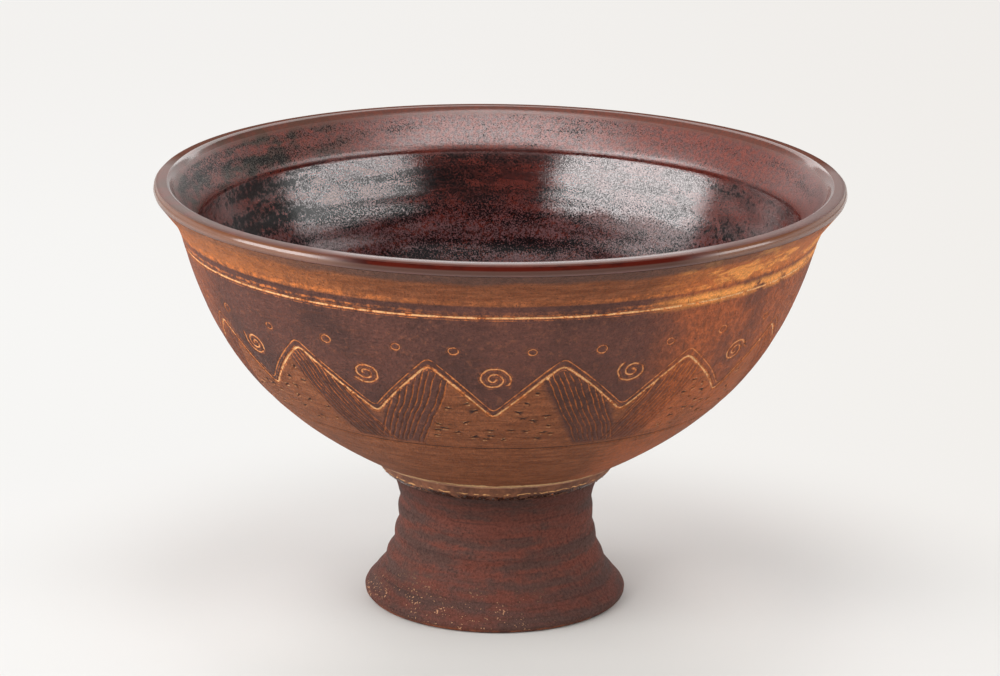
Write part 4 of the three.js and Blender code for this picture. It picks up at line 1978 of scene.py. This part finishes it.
@dataclass
class PotPart:
    """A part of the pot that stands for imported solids."""

    nodes: dict[str, bpy.types.Object]
    wobble: Wobble

    SHARP_EDGE = math.radians(62.0)

    def turn(self, coat: Coat) -> None:
        """Turns a coat on the wheel and fixes it to the pot.

        Args:
            coat: The coat to turn.
        """
        piece = turned(coat.name, coat.outline(self.nodes), coat.around, coat.finish().material,
                       self.wobble, coat.ridges)
        self.settle(piece, coat.node, coat.slot)

    def settle(self, piece: bpy.types.Object, node: str, slot: str) -> None:
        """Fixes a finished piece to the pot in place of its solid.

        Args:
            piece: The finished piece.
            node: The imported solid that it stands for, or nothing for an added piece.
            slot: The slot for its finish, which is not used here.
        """
        piece.data.set_sharp_from_angle(angle=self.SHARP_EDGE)
        if node:
            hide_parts(node)
        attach(piece, "root")
        faces = sum(len(face.vertices) - 2 for face in piece.data.polygons)
        LOG.info("%s: %d triangles", piece.name, faces)


@dataclass
class Bowl(PotPart):
    """The thrown bowl: its clay, the glaze inside and the slip outside."""

    clay: Coat = Coat("thrown_bowl_clay", "bowl_body", "bowl_clay", ClayFinish,
                      around=128, fine=3 * MM, coarse=3 * MM)
    glaze: Coat = Coat("poured_glaze_lining", "glaze_lining", "dark_glaze", GlazeFinish,
                       around=320, fine=1.3 * MM, coarse=5 * MM, buried=Facing.DOWN,
                       ridges=Ridges(pitch=10 * MM, depth=0.09 * MM, crest=80 * MM, low=72 * MM,
                                     rise=12 * MM, high=146 * MM, fall=12 * MM))
    slip: Coat = Coat("carved_slip_coat", "exterior_slip", "iron_slip", SlipFinish,
                      around=360, fine=1.5 * MM, coarse=6 * MM, buried=Facing.UP)
    band_low: float = 83.4 * MM
    band_high: float = 145.6 * MM
    burr_height: float = 0.10 * MM
    burr_width: float = 0.36 * MM

    def build(self) -> None:
        """Turns the clay and the glaze, and cuts the ornament into the slip."""
        self.turn(self.clay)
        self.turn(self.glaze)
        self.carve(self.slip)

    def carve(self, slip: Coat) -> None:
        """Cuts the ornament into a coat and joins it to the plain coat above and below.

        Args:
            slip: The coat to carve.
        """
        band, rest = slip.outline(self.nodes).between(self.band_low, self.band_high)
        finish = slip.finish().material
        plan = BandPlan(band)
        mesher = PlanMesher(plan, Frieze(plan), slip.around)
        helpers = {"Strokes": linked("strokes", mesher.strokes_mesh()),
                   "Outline": linked("band_outline", band.mesh("band", Ridges())),
                   "Plain Parts": turned("plain_slip", rest, slip.around, finish, self.wobble)}
        feeds = {**helpers, "Plan Radius": plan.RADIUS * MM, "Burr Height": self.burr_height,
                 "Burr Width": self.burr_width}
        piece = CarvingTree().cast(slip.name, mesher.plan_mesh(), feeds, finish, self.wobble)
        for helper in helpers.values():
            bpy.data.objects.remove(helper, do_unlink=True)
        self.settle(piece, slip.node, slip.slot)


@dataclass
class Pedestal(PotPart):
    """The turned foot with its ridges and its hollow."""

    foot: Coat = Coat("turned_pedestal_foot", "pedestal_foot", "pedestal_clay",
                      PedestalFinish, around=320, fine=1 * MM, coarse=1 * MM,
                      ridges=Ridges(pitch=9 * MM, depth=0.10 * MM, crest=16.5 * MM, low=6 * MM,
                                    rise=8 * MM, high=48 * MM, fall=10 * MM))

    def build(self) -> None:
        """Turns the foot."""
        self.turn(self.foot)


@dataclass
class Joint(PotPart):
    """The clay coils that fix the foot to the bowl, and the glaze that ran there."""

    outer: Coat = Coat("wiped_outer_luting_coil", "outer_luting_coil", "coil_clay",
                       JointFinish, around=256, fine=0.6 * MM, coarse=2 * MM, buried=Facing.UP)
    inner: Coat = Coat("wiped_inner_luting_coil", "inner_luting_coil", "coil_clay",
                       ClayFinish, around=256, fine=0.6 * MM, coarse=2 * MM, buried=Facing.UP)
    beads: int = 170
    bead_seed: int = 7
    bead_ring: float = 43.8 * MM
    bead_level: float = 51.7 * MM
    bead_spread: float = 0.7 * MM
    smallest_bead: float = 0.14 * MM
    largest_bead: float = 0.5 * MM

    def build(self) -> None:
        """Turns the two coils and strews the beads of glaze along the joint."""
        self.turn(self.outer)
        self.turn(self.inner)
        feeds = {"Count": self.beads, "Ring Radius": self.bead_ring,
                 "Ring Height": self.bead_level, "Spread": self.bead_spread,
                 "Smallest": self.smallest_bead, "Largest": self.largest_bead,
                 "Seed": self.bead_seed}
        piece = BeadTree().cast("run_glaze_beads", bpy.data.meshes.new("no_mesh"), feeds,
                                BeadFinish().material, self.wobble)
        self.settle(piece, "", "dark_glaze")


def main() -> None:
    """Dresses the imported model."""
    logging.basicConfig(level=logging.INFO, format="%(message)s")
    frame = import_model()
    nodes = frame["nodes"]
    wobble = Wobble()
    Studio().build()
    for part in (Bowl, Pedestal, Joint):
        part(nodes, wobble).build()


if __name__ == "__main__":
    main()
